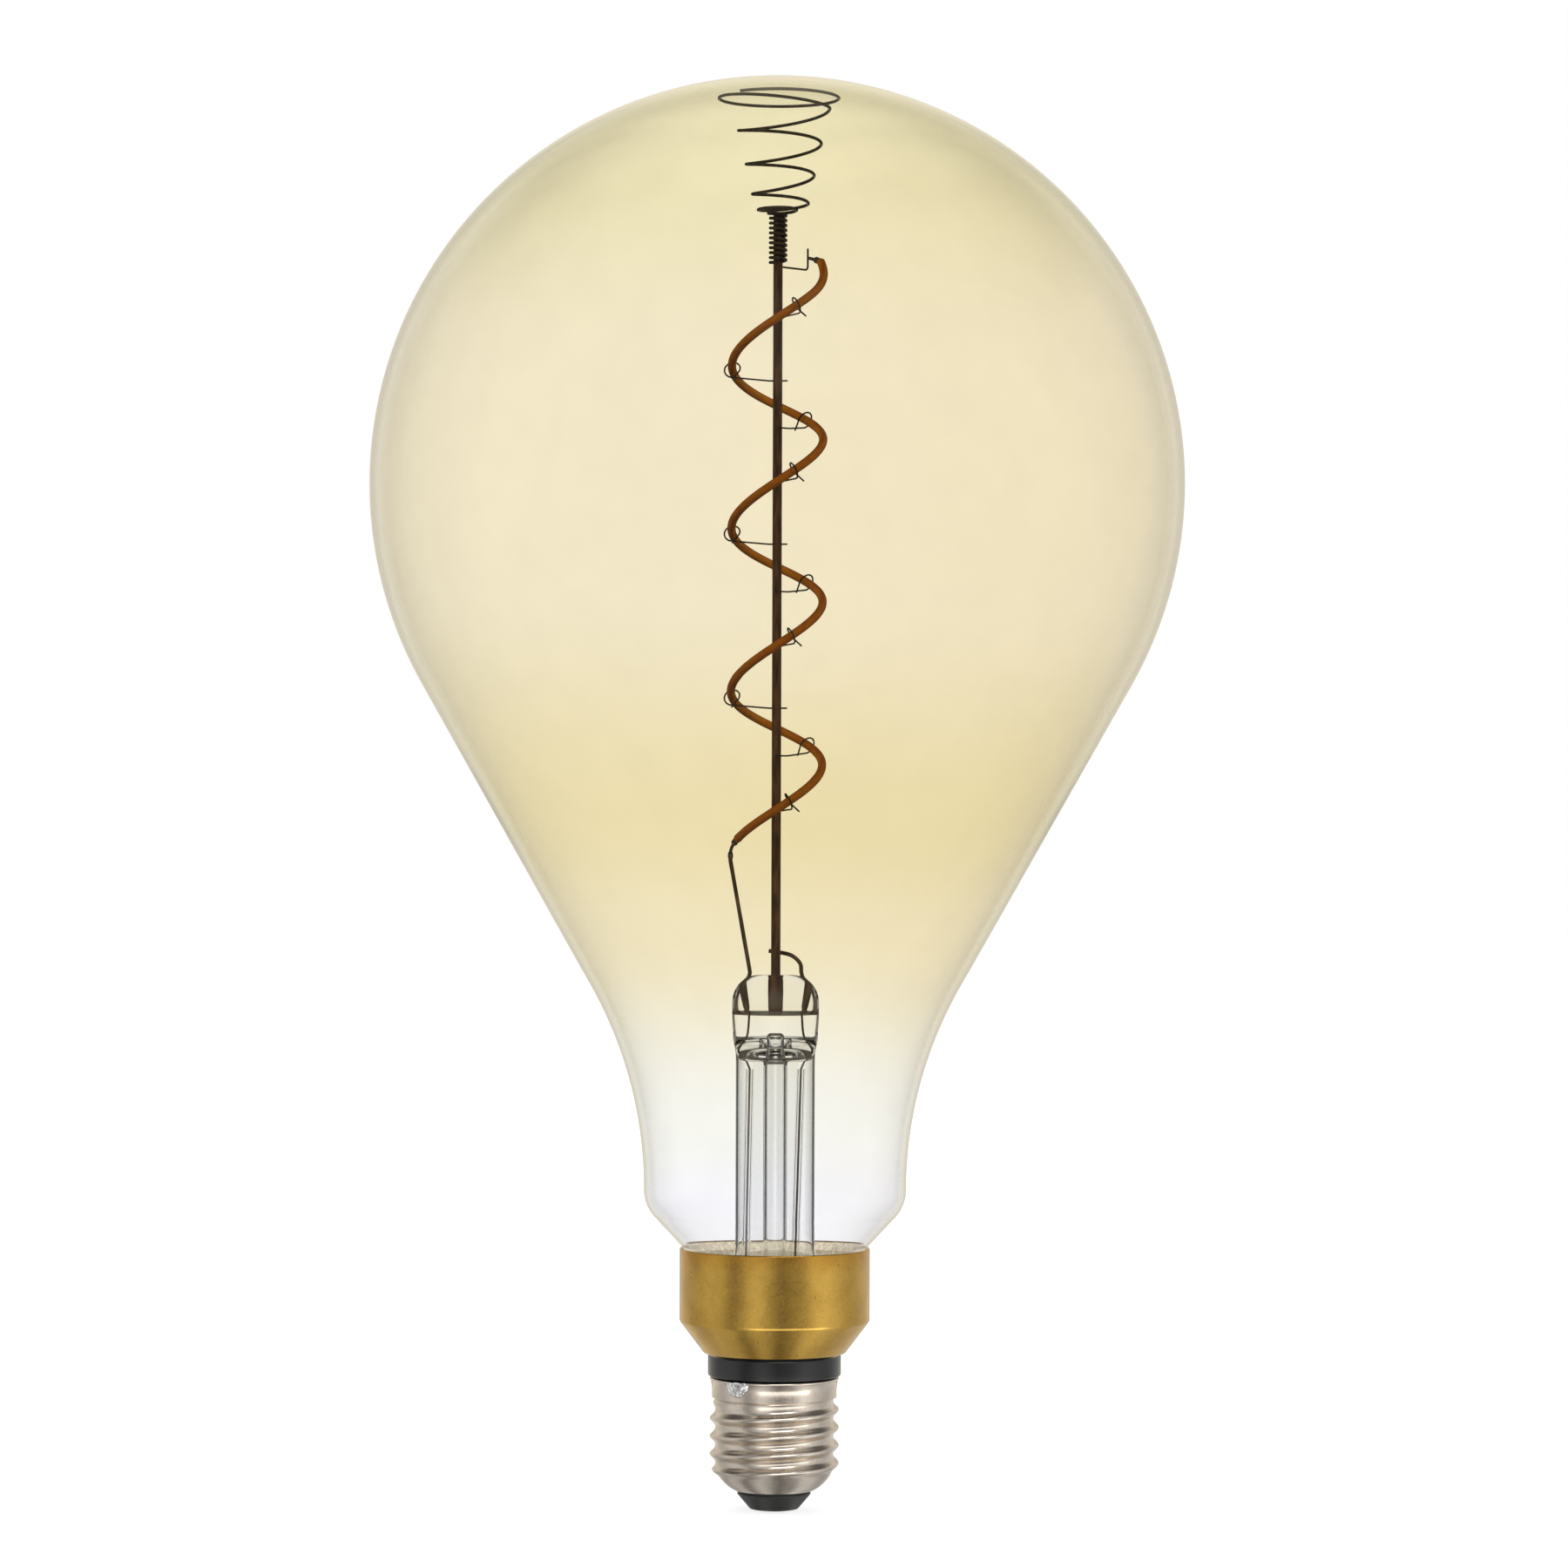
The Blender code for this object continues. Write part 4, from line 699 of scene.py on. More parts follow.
def cement_section():
    """The ring's section, with rows of points on both sides for the lumps to move."""
    inner = spigot_radius + SEAT_GAP
    drop = CEMENT_GAP / math.sin(slope)
    inner_top = collar_top - drop - (glass_at_rim - inner) / math.tan(slope)
    outer_top = collar_top - drop
    shares = [i / CEMENT_ROWS for i in range(CEMENT_ROWS + 1)]
    outer_side = [(glass_at_rim, outer_top + (glass_low - outer_top) * share) for share in shares]
    inner_side = [(inner, glass_low + (inner_top - glass_low) * share) for share in shares]
    return outer_side + inner_side


def roughen(piece, name, lump_size, strength, mid_level):
    """Push a surface in and out by a cloud texture; it stays where the cloud equals mid_level."""
    lumps = bpy.data.textures.new(name, "CLOUDS")
    lumps.noise_scale = lump_size
    rough = piece.modifiers.new(name, "DISPLACE")
    rough.texture = lumps
    rough.texture_coords = "LOCAL"
    rough.strength = strength
    rough.mid_level = mid_level
    bpy.ops.object.modifier_apply(modifier=rough.name)


cement = turned_ring("cement_ring", cement_section(), steps=160)
roughen(cement, "cement_lumps", CEMENT_LUMP, CEMENT_ROUGHNESS, mid_level=1.0)
print("cement faces:", len(cement.data.polygons))

# %% Finish of the cement


def beige_cement():
    """Rough beige mass with pale and dark grains."""
    finish, tree, shader = new_finish("cap_cement", 0.9)
    grain = noise(tree, 0.8 * MM, detail=6.0)
    set_colour(tree, shader, ramp(tree, grain, (0.3, tone(194, 182, 152)), (0.7, tone(232, 222, 197))))
    set_bump(tree, shader, grain, 0.15 * MM)
    return finish


put_on(cement, beige_cement(), "cap_cement", "bulb_cement")

# %% [markdown]
# ## The black ring
# A moulded housing holds the driver inside the cap, and only its middle shows, as a black ring
# between the collar and the screw shell. Its hidden tail and top are turned with it.

# %% Turn the housing
HOUSING_WALL = 1.5 * MM
HOUSING_LIP = 0.8 * MM
RING_EDGE = 0.35 * MM
housing_low, housing_top = heights("driver_housing")
ring_low = shell_top + SEAT_GAP
ring_top = collar_low - SEAT_GAP
tail_radius = shell_bore - SEAT_GAP
lip_low = collar_low + COLLAR_WALL + SEAT_GAP
housing_section = [
    (tail_radius, housing_top),
    (tail_radius + HOUSING_LIP, (housing_top + lip_low) / 2),
    (tail_radius + HOUSING_LIP, lip_low),
    (tail_radius, lip_low),
    (tail_radius, ring_top),
    *arc((ring_radius - RING_EDGE, ring_top - RING_EDGE), RING_EDGE, 90, 0, 5),
    *arc((ring_radius - RING_EDGE, ring_low + RING_EDGE), RING_EDGE, 0, -90, 5),
    (tail_radius, ring_low),
    (tail_radius, housing_low),
    (tail_radius - HOUSING_WALL, housing_low),
    (tail_radius - HOUSING_WALL, housing_top),
]
housing = turned_ring("driver_ring", housing_section)
print(f"black ring {(ring_top - ring_low) / MM:.1f} mm high")

# %% Finish of the black ring


def moulded_black(name, dark, light, roughness):
    """Moulded plastic: nearly even, with a faint grain and cloudy gloss."""
    finish, tree, shader = new_finish(name, roughness)
    grain = noise(tree, 0.35 * MM, detail=3.0)
    cloud = noise(tree, 5 * MM, detail=3.0)
    set_colour(tree, shader, ramp(tree, cloud, (0.3, dark), (0.7, light)))
    set_roughness(tree, shader, between(tree, cloud, 0.3, 0.7, roughness - 0.05, roughness + 0.05))
    set_bump(tree, shader, grain, 0.006 * MM)
    return finish


RING_DARK = grey(0.004)
RING_LIGHT = grey(0.009)
housing_look = moulded_black("housing_black", RING_DARK, RING_LIGHT, 0.24)
put_on(housing, housing_look, "housing_black", "driver_housing")

# %% [markdown]
# ## The screw shell
# The shell is thin nickelled sheet with a rolled thread. A Screw modifier would make an endless
# helix with cut ends, so instead a fine plain profile is turned, and each vertex is then pushed
# out by how near it is to the helix. That way the thread can run out smoothly into the plain band
# above and the bowl below.

# %% Turn the shell
THREAD_PITCH = 3.629 * MM
THREAD_CREST_RADIUS = 13.1 * MM
THREAD_CREST_AT_RIGHT = 9.4 * MM
SHELL_BAND_RADIUS = 12.65 * MM
SHELL_BAND_HEIGHT = 4.4 * MM
SHELL_RIM_RADIUS = 7.9 * MM
SHELL_BOWL_TOP_ANGLE = 20
SHELL_BOWL_LOW_ANGLE = 65
SHELL_LIP_RADIUS = 0.3 * MM
SHELL_BAND_ROWS = (12, 6, 2)
ROWS_PER_PITCH = 22
THREAD_SHARPNESS = 1.5
thread_top = shell_top - SHELL_BAND_HEIGHT
top_angle = math.radians(SHELL_BOWL_TOP_ANGLE)
low_angle = math.radians(SHELL_BOWL_LOW_ANGLE)
bowl_radius = (THREAD_ROOT_RADIUS - SHELL_RIM_RADIUS) / (math.cos(top_angle) - math.cos(low_angle))
bowl_middle = shell_low + bowl_radius * math.sin(low_angle)
bowl_top = bowl_middle - bowl_radius * math.sin(top_angle)
bowl_centre = (THREAD_ROOT_RADIUS - bowl_radius * math.cos(top_angle), bowl_middle)


def shell_outline():
    """From the rolled lip down the band, in fine rows over the thread's stretch, and over the bowl."""
    rows = round((thread_top - bowl_top) / THREAD_PITCH * ROWS_PER_PITCH)
    step = (thread_top - bowl_top) / rows
    lip = (SHELL_BAND_RADIUS + SHELL_LIP_RADIUS / 2, shell_top - SHELL_LIP_RADIUS)
    return [
        (SHELL_BAND_RADIUS - SHELL_LIP_RADIUS, shell_top),
        *arc(lip, SHELL_LIP_RADIUS, 90, -70, 9),
        *[(SHELL_BAND_RADIUS, thread_top + step * i) for i in SHELL_BAND_ROWS],
        *[(THREAD_ROOT_RADIUS, thread_top - step * i) for i in range(rows)],
        *arc(bowl_centre, bowl_radius, -SHELL_BOWL_TOP_ANGLE, -SHELL_BOWL_LOW_ANGLE, 28),
    ]


shell = turned("threaded_shell", shell_outline(), steps=180)
print("shell rows:", len(shell_outline()))

# %% Roll the thread


def thread_rise(angle, height):
    """How far the helix pushes a point out; it fades over half a pitch at both ends."""
    turn = (height - THREAD_CREST_AT_RIGHT) / THREAD_PITCH - angle / math.tau
    wave = (0.5 + 0.5 * math.cos(math.tau * turn)) ** THREAD_SHARPNESS
    fade_low = (height - bowl_top + THREAD_PITCH / 2) / (THREAD_PITCH / 2)
    fade_high = (thread_top - height) / (THREAD_PITCH / 2)
    fade = max(0, min(1, fade_low, fade_high))
    return (THREAD_CREST_RADIUS - THREAD_ROOT_RADIUS) * wave * fade


for vertex in shell.data.vertices:
    radius = math.hypot(vertex.co.x, vertex.co.y)
    angle = math.atan2(vertex.co.y, vertex.co.x)
    grown = 1 + thread_rise(angle, vertex.co.z) / radius
    vertex.co.x *= grown
    vertex.co.y *= grown
add_wall(shell, SHELL_WALL)
print(f"thread {2 * THREAD_CREST_RADIUS / MM:.1f} mm over its crests")

# %% [markdown]
# ### Satin nickel
# Nickel plate is a warm grey mirror, slightly dulled. Fine grain blurs it, and broad clouds make it
# darker here and there, as handling does.

# %% Finish of the shell


def satin_nickel():
    """Nickel plate with fine grain and broad clouds."""
    finish, tree, shader = new_finish("shell_nickel", 0.17, metallic=1.0)
    grain = noise(tree, 0.5 * MM, detail=5.0)
    cloud = noise(tree, 4 * MM, detail=3.0)
    base = ramp(tree, cloud, (0.3, (0.61, 0.535, 0.45, 1)), (0.7, (0.71, 0.625, 0.53, 1)))
    fine = ramp(tree, grain, (0.3, grey(0.92)), (0.6, WHITE))
    set_colour(tree, shader, product(tree, base, fine))
    set_roughness(tree, shader, between(tree, grain, 0.3, 0.7, 0.14, 0.20))
    set_bump(tree, shader, grain, 0.0015 * MM)
    return finish


put_on(shell, satin_nickel(), "shell_nickel", "screw_shell", angle=60)

# %% [markdown]
# ## The solder tab
# A drop of bright solder joins the neutral wire to the shell's top edge. It starts as a sphere,
# flattened against the band and cut level at the shell's top, and a Displace modifier crumples it.

# %% Shape the solder
solder_top = heights("shell_solder")[1]
SOLDER_ANGLE = math.radians(234)
SOLDER_WIDTH = 5.6 * MM
SOLDER_HEIGHT = 3.3 * MM
SOLDER_RISE = 1.0 * MM
SOLDER_CUT = 0.7 * MM
SOLDER_LUMP = 0.9 * MM
SOLDER_CRUMPLE = 0.55 * MM
bpy.ops.object.select_all(action="DESELECT")
bpy.ops.mesh.primitive_uv_sphere_add(segments=64, ring_count=48, radius=1.0)
solder = bpy.context.object
solder.name = "solder_tab"
solder.scale = (SOLDER_RISE, SOLDER_WIDTH / 2, SOLDER_HEIGHT - SOLDER_CUT)
solder.location = (
    SHELL_BAND_RADIUS * math.cos(SOLDER_ANGLE),
    SHELL_BAND_RADIUS * math.sin(SOLDER_ANGLE),
    solder_top - SOLDER_CUT,
)
solder.rotation_euler.z = SOLDER_ANGLE
bpy.ops.object.transform_apply(location=True, rotation=True, scale=True)
bpy.ops.object.mode_set(mode="EDIT")
bpy.ops.mesh.select_all(action="SELECT")
bpy.ops.mesh.bisect(
    plane_co=(0, 0, solder_top), plane_no=(0, 0, 1), use_fill=True, clear_outer=True
)
bpy.ops.object.mode_set(mode="OBJECT")
roughen(solder, "solder_crumple", SOLDER_LUMP, SOLDER_CRUMPLE, mid_level=0.7)
print("solder faces:", len(solder.data.polygons))

# %% Finish of the solder


def bright_solder():
    """Shiny tin, with painted shade that darkens the low creases of its grain."""
    finish, tree, shader = new_finish("solder_tin", 0.2, metallic=1.0)
    grain = noise(tree, 0.5 * MM, detail=4.0)
    # Painted shade: the grain's low spots, sunk into creases by the bump, are dark grey.
    set_colour(tree, shader, ramp(tree, grain, (0.35, grey(0.34)), (0.6, (0.88, 0.86, 0.83, 1))))
    set_roughness(tree, shader, between(tree, grain, 0.3, 0.7, 0.25, 0.08))
    set_bump(tree, shader, grain, 0.08 * MM)
    return finish


put_on(solder, bright_solder(), "solder_tin", "shell_solder", angle=80)

# %% [markdown]
# ## Insulator and centre contact
# A dark moulded cone closes the shell, and a brass contact with an eyelet sits in its tip. Both
# are turned, with small arcs at their edges so that they catch light.

# %% Turn the insulator
CONTACT_RADIUS = radius_of("centre_contact")
CONTACT_THICKNESS = 0.6 * MM
EYELET_BORE = 0.6 * MM
EYELET_WALL = 0.5 * MM
INSULATOR_TIP_RADIUS = 4.9 * MM
INSULATOR_RIM_RADIUS = 7.8 * MM
INSULATOR_CONE_HEIGHT = 3.4 * MM
INSULATOR_PLUG_FLARE = 1.6 * MM
INSULATOR_EDGE = 0.3 * MM
INSULATOR_DARK = (0.034, 0.037, 0.034, 1)
INSULATOR_LIGHT = (0.052, 0.056, 0.050, 1)
insulator_low, insulator_top = heights("base_insulator")
insulator_rim = insulator_low + INSULATOR_CONE_HEIGHT
throat = SHELL_RIM_RADIUS - SHELL_WALL - SEAT_GAP
plug_low = shell_low + SEAT_GAP
eyelet = EYELET_BORE + EYELET_WALL
tip = (INSULATOR_TIP_RADIUS, insulator_low)
rim_edge = (INSULATOR_RIM_RADIUS, insulator_rim)
recess = (CONTACT_RADIUS + SEAT_GAP, insulator_low)
insulator_section = [
    (throat + INSULATOR_PLUG_FLARE, insulator_top),
    (throat + INSULATOR_PLUG_FLARE, plug_low + INSULATOR_PLUG_FLARE),
    (throat, plug_low),
    (throat, insulator_rim),
    *rounded((throat, insulator_rim), rim_edge, tip, INSULATOR_EDGE, count=5),
    *rounded(rim_edge, tip, recess, INSULATOR_EDGE, count=5),
    recess,
    (recess[0], CONTACT_THICKNESS + SEAT_GAP),
    (eyelet + SEAT_GAP, CONTACT_THICKNESS + SEAT_GAP),
    (eyelet + SEAT_GAP, insulator_top),
]
insulator = turned_ring("cap_insulator", insulator_section)
insulator_look = moulded_black("insulator_black", INSULATOR_DARK, INSULATOR_LIGHT, 0.5)
put_on(insulator, insulator_look, "insulator_black", "base_insulator", angle=30)

# %% Turn the contact
CONTACT_EDGE = 0.2 * MM
CONTACT_BRASS = (0.72, 0.52, 0.22, 1)
CONTACT_DARK = (0.58, 0.40, 0.15, 1)
contact_top = heights("centre_contact")[1]
contact_outline = [
    (0, CONTACT_THICKNESS),
    (EYELET_BORE, CONTACT_THICKNESS),
    (EYELET_BORE, contact_top),
    (eyelet, contact_top),
    (eyelet, CONTACT_THICKNESS),
    *arc((CONTACT_RADIUS - CONTACT_EDGE, CONTACT_THICKNESS - CONTACT_EDGE), CONTACT_EDGE, 90, 0, 4),
    *arc((CONTACT_RADIUS - CONTACT_EDGE, CONTACT_EDGE), CONTACT_EDGE, 0, -90, 4),
    (0, 0),
]
contact = turned("contact_disc", contact_outline, steps=96)
contact_look = satin_brass("contact_brass", CONTACT_BRASS, CONTACT_DARK)
put_on(contact, contact_look, "contact_brass", "centre_contact", angle=30)

# %% [markdown]
# ## The glass stem
# A tube of clear glass rises inside the neck. Its foot flares out to the envelope, and its top
# was pinched flat while hot, round the wires, which leaves a thicker bulge above the pinch. Such a
# shape isn't turned: an oval is extruded ring by ring and resized as it goes, first down the
# inside of the tube, then over the foot and up the outside to the rounded top of the press.

# %% Plan the stem's rings
STEM_TUBE_RADIUS = 8.05 * MM
STEM_WALL = 0.5 * MM
STEM_FLARE_HEIGHT = 9 * MM
STEM_FLARE_STEPS = 12
PRESS_WIDTH = 17.6 * MM
PRESS_THICKNESS = 9 * MM
PRESS_HEIGHT = 15 * MM
PRESS_CORNER = 5.5 * MM
PRESS_TOP_STEPS = 14
PRESS_TOP_THINNING = 0.25
PINCH_THICKNESS = 4.4 * MM
press_low = stem_top - PRESS_HEIGHT


def ease(share):
    """A share from 0 to 1 that starts and ends gently, held outside that range."""
    held = min(max(share, 0), 1)
    return held * held * (3 - 2 * held)


def eased_rings(knots, steps):
    """Rings (z, half width, half depth) between knots, easing from each one to the next."""
    rings = [knots[0]]
    for start, end in zip(knots, knots[1:]):
        for step in range(1, steps + 1):
            share = step / steps
            height = start[0] + (end[0] - start[0]) * share
            rings.append((height, *[a + (b - a) * ease(share) for a, b in zip(start[1:], end[1:])]))
    return rings


def flare_rings(inset):
    """Rings of the stem's foot, which flares out in a quarter arc to the envelope."""
    foot_radius = spigot_radius - GLASS_WALL - SEAT_GAP
    reach = foot_radius - STEM_TUBE_RADIUS + inset
    rings = []
    for step in range(STEM_FLARE_STEPS, -1, -1):
        turn = math.pi / 2 * step / STEM_FLARE_STEPS
        radius = foot_radius - reach * math.cos(turn)
        rings.append((stem_low + STEM_FLARE_HEIGHT * (1 - math.sin(turn)), radius, radius))
    return rings


def press_top():
    """Rings of the press's rounded top, which thins a little as it closes."""
    rings = []
    for step in range(PRESS_TOP_STEPS + 1):
        turn = math.pi / 2 * step / PRESS_TOP_STEPS
        lean = PRESS_CORNER * (1 - math.cos(turn))
        height = stem_top - PRESS_CORNER * (1 - math.sin(turn))
        thin = PRESS_THICKNESS / 2 * (1 - PRESS_TOP_THINNING * (1 - math.cos(turn)))
        rings.append((height, PRESS_WIDTH / 2 - lean, thin))
    return rings


print(f"press from {press_low / MM:.1f} to {stem_top / MM:.1f} mm")

# %% Extrude the stem ring by ring
RINGS_PER_KNOT = 10


def extruded_rings(name, rings, sides=96):
    """An oval extruded from ring to ring, with both ends filled."""
    bpy.ops.object.select_all(action="DESELECT")
    height, width, depth = rings[0]
    bpy.ops.mesh.primitive_circle_add(vertices=sides, radius=1.0, location=(0, 0, height))
    piece = bpy.context.object
    piece.name = name
    piece.scale = (width, depth, 1)
    bpy.ops.object.transform_apply(location=True, rotation=False, scale=True)
    bpy.ops.object.mode_set(mode="EDIT")
    bpy.ops.mesh.select_all(action="SELECT")
    bpy.ops.mesh.edge_face_add()
    bpy.ops.mesh.select_mode(type="EDGE")
    bpy.ops.mesh.select_all(action="SELECT")
    for (z0, w0, d0), (z1, w1, d1) in zip(rings, rings[1:]):
        bpy.ops.mesh.extrude_edges_move(TRANSFORM_OT_translate={"value": (0, 0, z1 - z0)})
        bpy.ops.transform.resize(value=(w1 / w0, d1 / d0, 1), center_override=(0, 0, z1))
    bpy.ops.mesh.edge_face_add()
    bpy.ops.mesh.select_mode(type="VERT")
    merge_and_face_out()
    return piece


half_press = PRESS_WIDTH / 2
half_pinch = PINCH_THICKNESS / 2
bore_radius = STEM_TUBE_RADIUS - STEM_WALL
# Each knot is a height, and half the oval's width and depth there.
bore_knots = [
    (press_low - 2.4 * MM, bore_radius, bore_radius),
    (press_low + 0.5 * MM, bore_radius - 0.2 * MM, half_pinch - 0.2 * MM),
    (press_low + 1.2 * MM, bore_radius - 1.4 * MM, half_pinch - 1.2 * MM),
]
press_knots = [
    (press_low - 1.4 * MM, STEM_TUBE_RADIUS, STEM_TUBE_RADIUS),
    (press_low + 2.6 * MM, half_press - 0.2 * MM, half_pinch + 0.3 * MM),
    (press_low + 6.9 * MM, half_press, half_pinch),
    (press_low + 8.0 * MM, half_press, PRESS_THICKNESS / 2),
]
bore_side = flare_rings(STEM_WALL) + eased_rings(bore_knots, RINGS_PER_KNOT)
outer_side = flare_rings(0) + eased_rings(press_knots, RINGS_PER_KNOT)
stem = extruded_rings("stem_glass", bore_side[::-1] + outer_side + press_top())
print("stem faces before the stub:", len(stem.data.polygons))

# %% [markdown]
# The thin tube through which the air was pumped is melted to the press, where it flares, and its
# hole was blown on into the press. Boolean modifiers join a turned stub of that tube to the stem
# and cut the hole with a turned plug that has a round top.

# %% Melt the exhaust stub on and blow its hole
EXHAUST_WALL = 0.7 * MM
STUB_DROP = 3.2 * MM
STUB_LENGTH = 4.5 * MM
STUB_FLARE = ((0.1 * MM, 1.0 * MM), (0.35 * MM, 2.0 * MM), (0.8 * MM, 3.0 * MM))
HOLE_RISE = 3.2 * MM
PLUG_OVERSHOOT = 1.0 * MM
exhaust_radius = radius_of("exhaust_tube")
hole_radius = exhaust_radius - EXHAUST_WALL
stub_low = press_low - STUB_DROP
stub_top = stub_low + STUB_LENGTH
hole_top = press_low + HOLE_RISE
stub_outline = [
    (0.0, stub_low),
    (exhaust_radius, stub_low),
    *[(exhaust_radius + out, stub_low + rise) for out, rise in STUB_FLARE],
    (exhaust_radius + STUB_FLARE[-1][0], stub_top),
    (0.0, stub_top),
]
plug_outline = [
    (0.0, stub_low - PLUG_OVERSHOOT),
    (hole_radius, stub_low - PLUG_OVERSHOOT),
    *arc((hole_radius / 2, hole_top - hole_radius / 2), hole_radius / 2, 0, 90, 8),
    (0.0, hole_top),
]


def join_or_cut(piece, operation, name, outline):
    """A turned tool joined to a piece or cut from it, and then removed."""
    tool = turned(name, outline, steps=64)
    bpy.context.view_layer.objects.active = piece
    change = piece.modifiers.new(name, "BOOLEAN")
    change.operation = operation
    change.object = tool
    bpy.ops.object.modifier_apply(modifier=change.name)
    bpy.data.objects.remove(tool)


join_or_cut(stem, "UNION", "exhaust_stub", stub_outline)
join_or_cut(stem, "DIFFERENCE", "hole_plug", plug_outline)
print("stem faces:", len(stem.data.polygons))

# %% [markdown]
# ### Clear glass
# Drawn glass tube is nearly colourless. Faint streaks along the tube keep it from looking perfect.

# %% Finish of the stem


def clear_glass(name, tint):
    """Clear glass with faint streaks along its length."""
    finish, tree, shader = new_finish(name, 0.0, transmission=1.0, ior=1.5)
    streak = noise(tree, 1.5 * MM, detail=2.0, stretch=(1, 1, 0.05))
    set_colour(tree, shader, ramp(tree, streak, (0.3, tint), (0.7, WHITE)))
    set_bump(tree, shader, streak, 0.01 * MM, 0.3)
    return finish


CLEAR_TINT = (0.985, 0.99, 0.99, 1)
let_light_in(stem)
put_on(stem, clear_glass("clear_glass", CLEAR_TINT), "clear_glass", "glass_stem", angle=50)

# %% [markdown]
# ## The exhaust tube
# Below its stub the exhaust tube hangs free, and it ends in a melted tip. It is a turned piece with
# a closed round end.

# %% Turn the exhaust tube
STUB_GAP = 0.03 * MM
exhaust_low = heights("exhaust_tube")[0]
exhaust_top = stub_low - STUB_GAP
tip_middle = exhaust_low + exhaust_radius
exhaust_outline = [
    (0.0, exhaust_low + EXHAUST_WALL),
    *arc((0, tip_middle), hole_radius, -90, 0, 10)[1:],
    (hole_radius, exhaust_top),
    (exhaust_radius, exhaust_top),
    *arc((0, tip_middle), exhaust_radius, 0, -90, 12)[:-1],
    (0.0, exhaust_low),
]
exhaust = turned("exhaust_glass", exhaust_outline, steps=64)
let_light_in(exhaust)
exhaust_look = clear_glass("exhaust_glass", CLEAR_TINT)
put_on(exhaust, exhaust_look, "clear_glass", "exhaust_tube", angle=50)

# %% [markdown]
# ## Bending wire
# The mast, spring, hooks and leads are wire. A wire is easiest as a curve with a round bevel: the
# points along its middle come from a formula, and the curve is then converted to a mesh.

# %% Helpers for wire


def bent_wire(name, points, radius, shares=None, roundness=4):
    """A round wire through the points; shares scale its radius point by point."""
    bpy.ops.object.select_all(action="DESELECT")
    bpy.ops.curve.primitive_nurbs_path_add()
    wire = bpy.context.object
    wire.name = name
    wire.data.splines.clear()
    wire.data.bevel_depth = radius
    wire.data.bevel_resolution = roundness
    wire.data.use_fill_caps = True
    spline = wire.data.splines.new("POLY")
    spline.points.add(len(points) - 1)
    for i, point in enumerate(points):
        spline.points[i].co = (*point, 1)
        spline.points[i].radius = shares[i] if shares else 1.0
    bpy.ops.object.convert(target="MESH")
    bpy.ops.object.mode_set(mode="EDIT")
    merge_and_face_out()
    return bpy.context.object


def smooth_path(knots, per_span=8):
    """Points on a smooth curve through the knots."""
    knots = [Vector(knot) for knot in knots]
    ends = [2 * knots[0] - knots[1], *knots, 2 * knots[-1] - knots[-2]]
    path = []
    for before, start, end, after in zip(ends, ends[1:], ends[2:], ends[3:]):
        for i in range(per_span):
            t = i / per_span
            path.append(
                start * (2 * t**3 - 3 * t**2 + 1)
                + (end - before) / 2 * (t**3 - 2 * t**2 + t)
                + end * (3 * t**2 - 2 * t**3)
                + (after - start) / 2 * (t**3 - t**2)
            )
    return [*path, knots[-1]]


def dark_steel(name, dark, light, roughness=0.4):
    """Oxidised steel wire: brown-black, with lighter worn streaks."""
    finish, tree, shader = new_finish(name, roughness, metallic=0.15)
    shader.inputs["Specular IOR Level"].default_value = 0.25
    streak = noise(tree, 0.7 * MM, detail=4.0, stretch=(1, 1, 0.15))
    patch = noise(tree, 4 * MM, detail=3.0)
    base = ramp(tree, streak, (0.3, dark), (0.7, light))
    worn = ramp(tree, patch, (0.35, grey(0.75)), (0.65, WHITE))
    set_colour(tree, shader, product(tree, base, worn))
    set_roughness(tree, shader, between(tree, patch, 0.3, 0.7, roughness - 0.08, roughness + 0.12))
    set_bump(tree, shader, streak, 0.01 * MM)
    return finish


print("wire helpers ready")

# %% [markdown]
# ## Mast and support spring
# The mast is a rod that stands in the press. A spring is pushed over its top: close turns grip the
# rod, then the wire opens into a cone whose last ring springs against the inside of the dome.
# The rod's foot in the glass is upset thicker, so its profile is turned like the glass pieces.

# %% Make the mast
MAST_EDGE = 0.15 * MM
MAST_FOOT_RADIUS = 1.35 * MM
MAST_FOOT_DEPTH = 0.4 * MM
mast_outline = [
    (0.0, mast_low),
    (MAST_FOOT_RADIUS - 2 * MAST_EDGE, mast_low),
    (MAST_FOOT_RADIUS, mast_low + 3 * MAST_EDGE),
    (MAST_FOOT_RADIUS * 1.05, (mast_low + stem_top) / 2),
    (MAST_FOOT_RADIUS, stem_top - 4 * MAST_FOOT_DEPTH),
    (mast_radius, stem_top - MAST_FOOT_DEPTH),
    (mast_radius, mast_top - MAST_EDGE),
    (mast_radius - MAST_EDGE, mast_top),
    (0.0, mast_top),
]
mast = turned("mast_wire", mast_outline, steps=48)
MAST_DARK = tone(42, 27, 14)
MAST_LIGHT = tone(84, 56, 30)
put_on(mast, dark_steel("mast_steel", MAST_DARK, MAST_LIGHT), "oxide_dark_wire", "mast_rod")

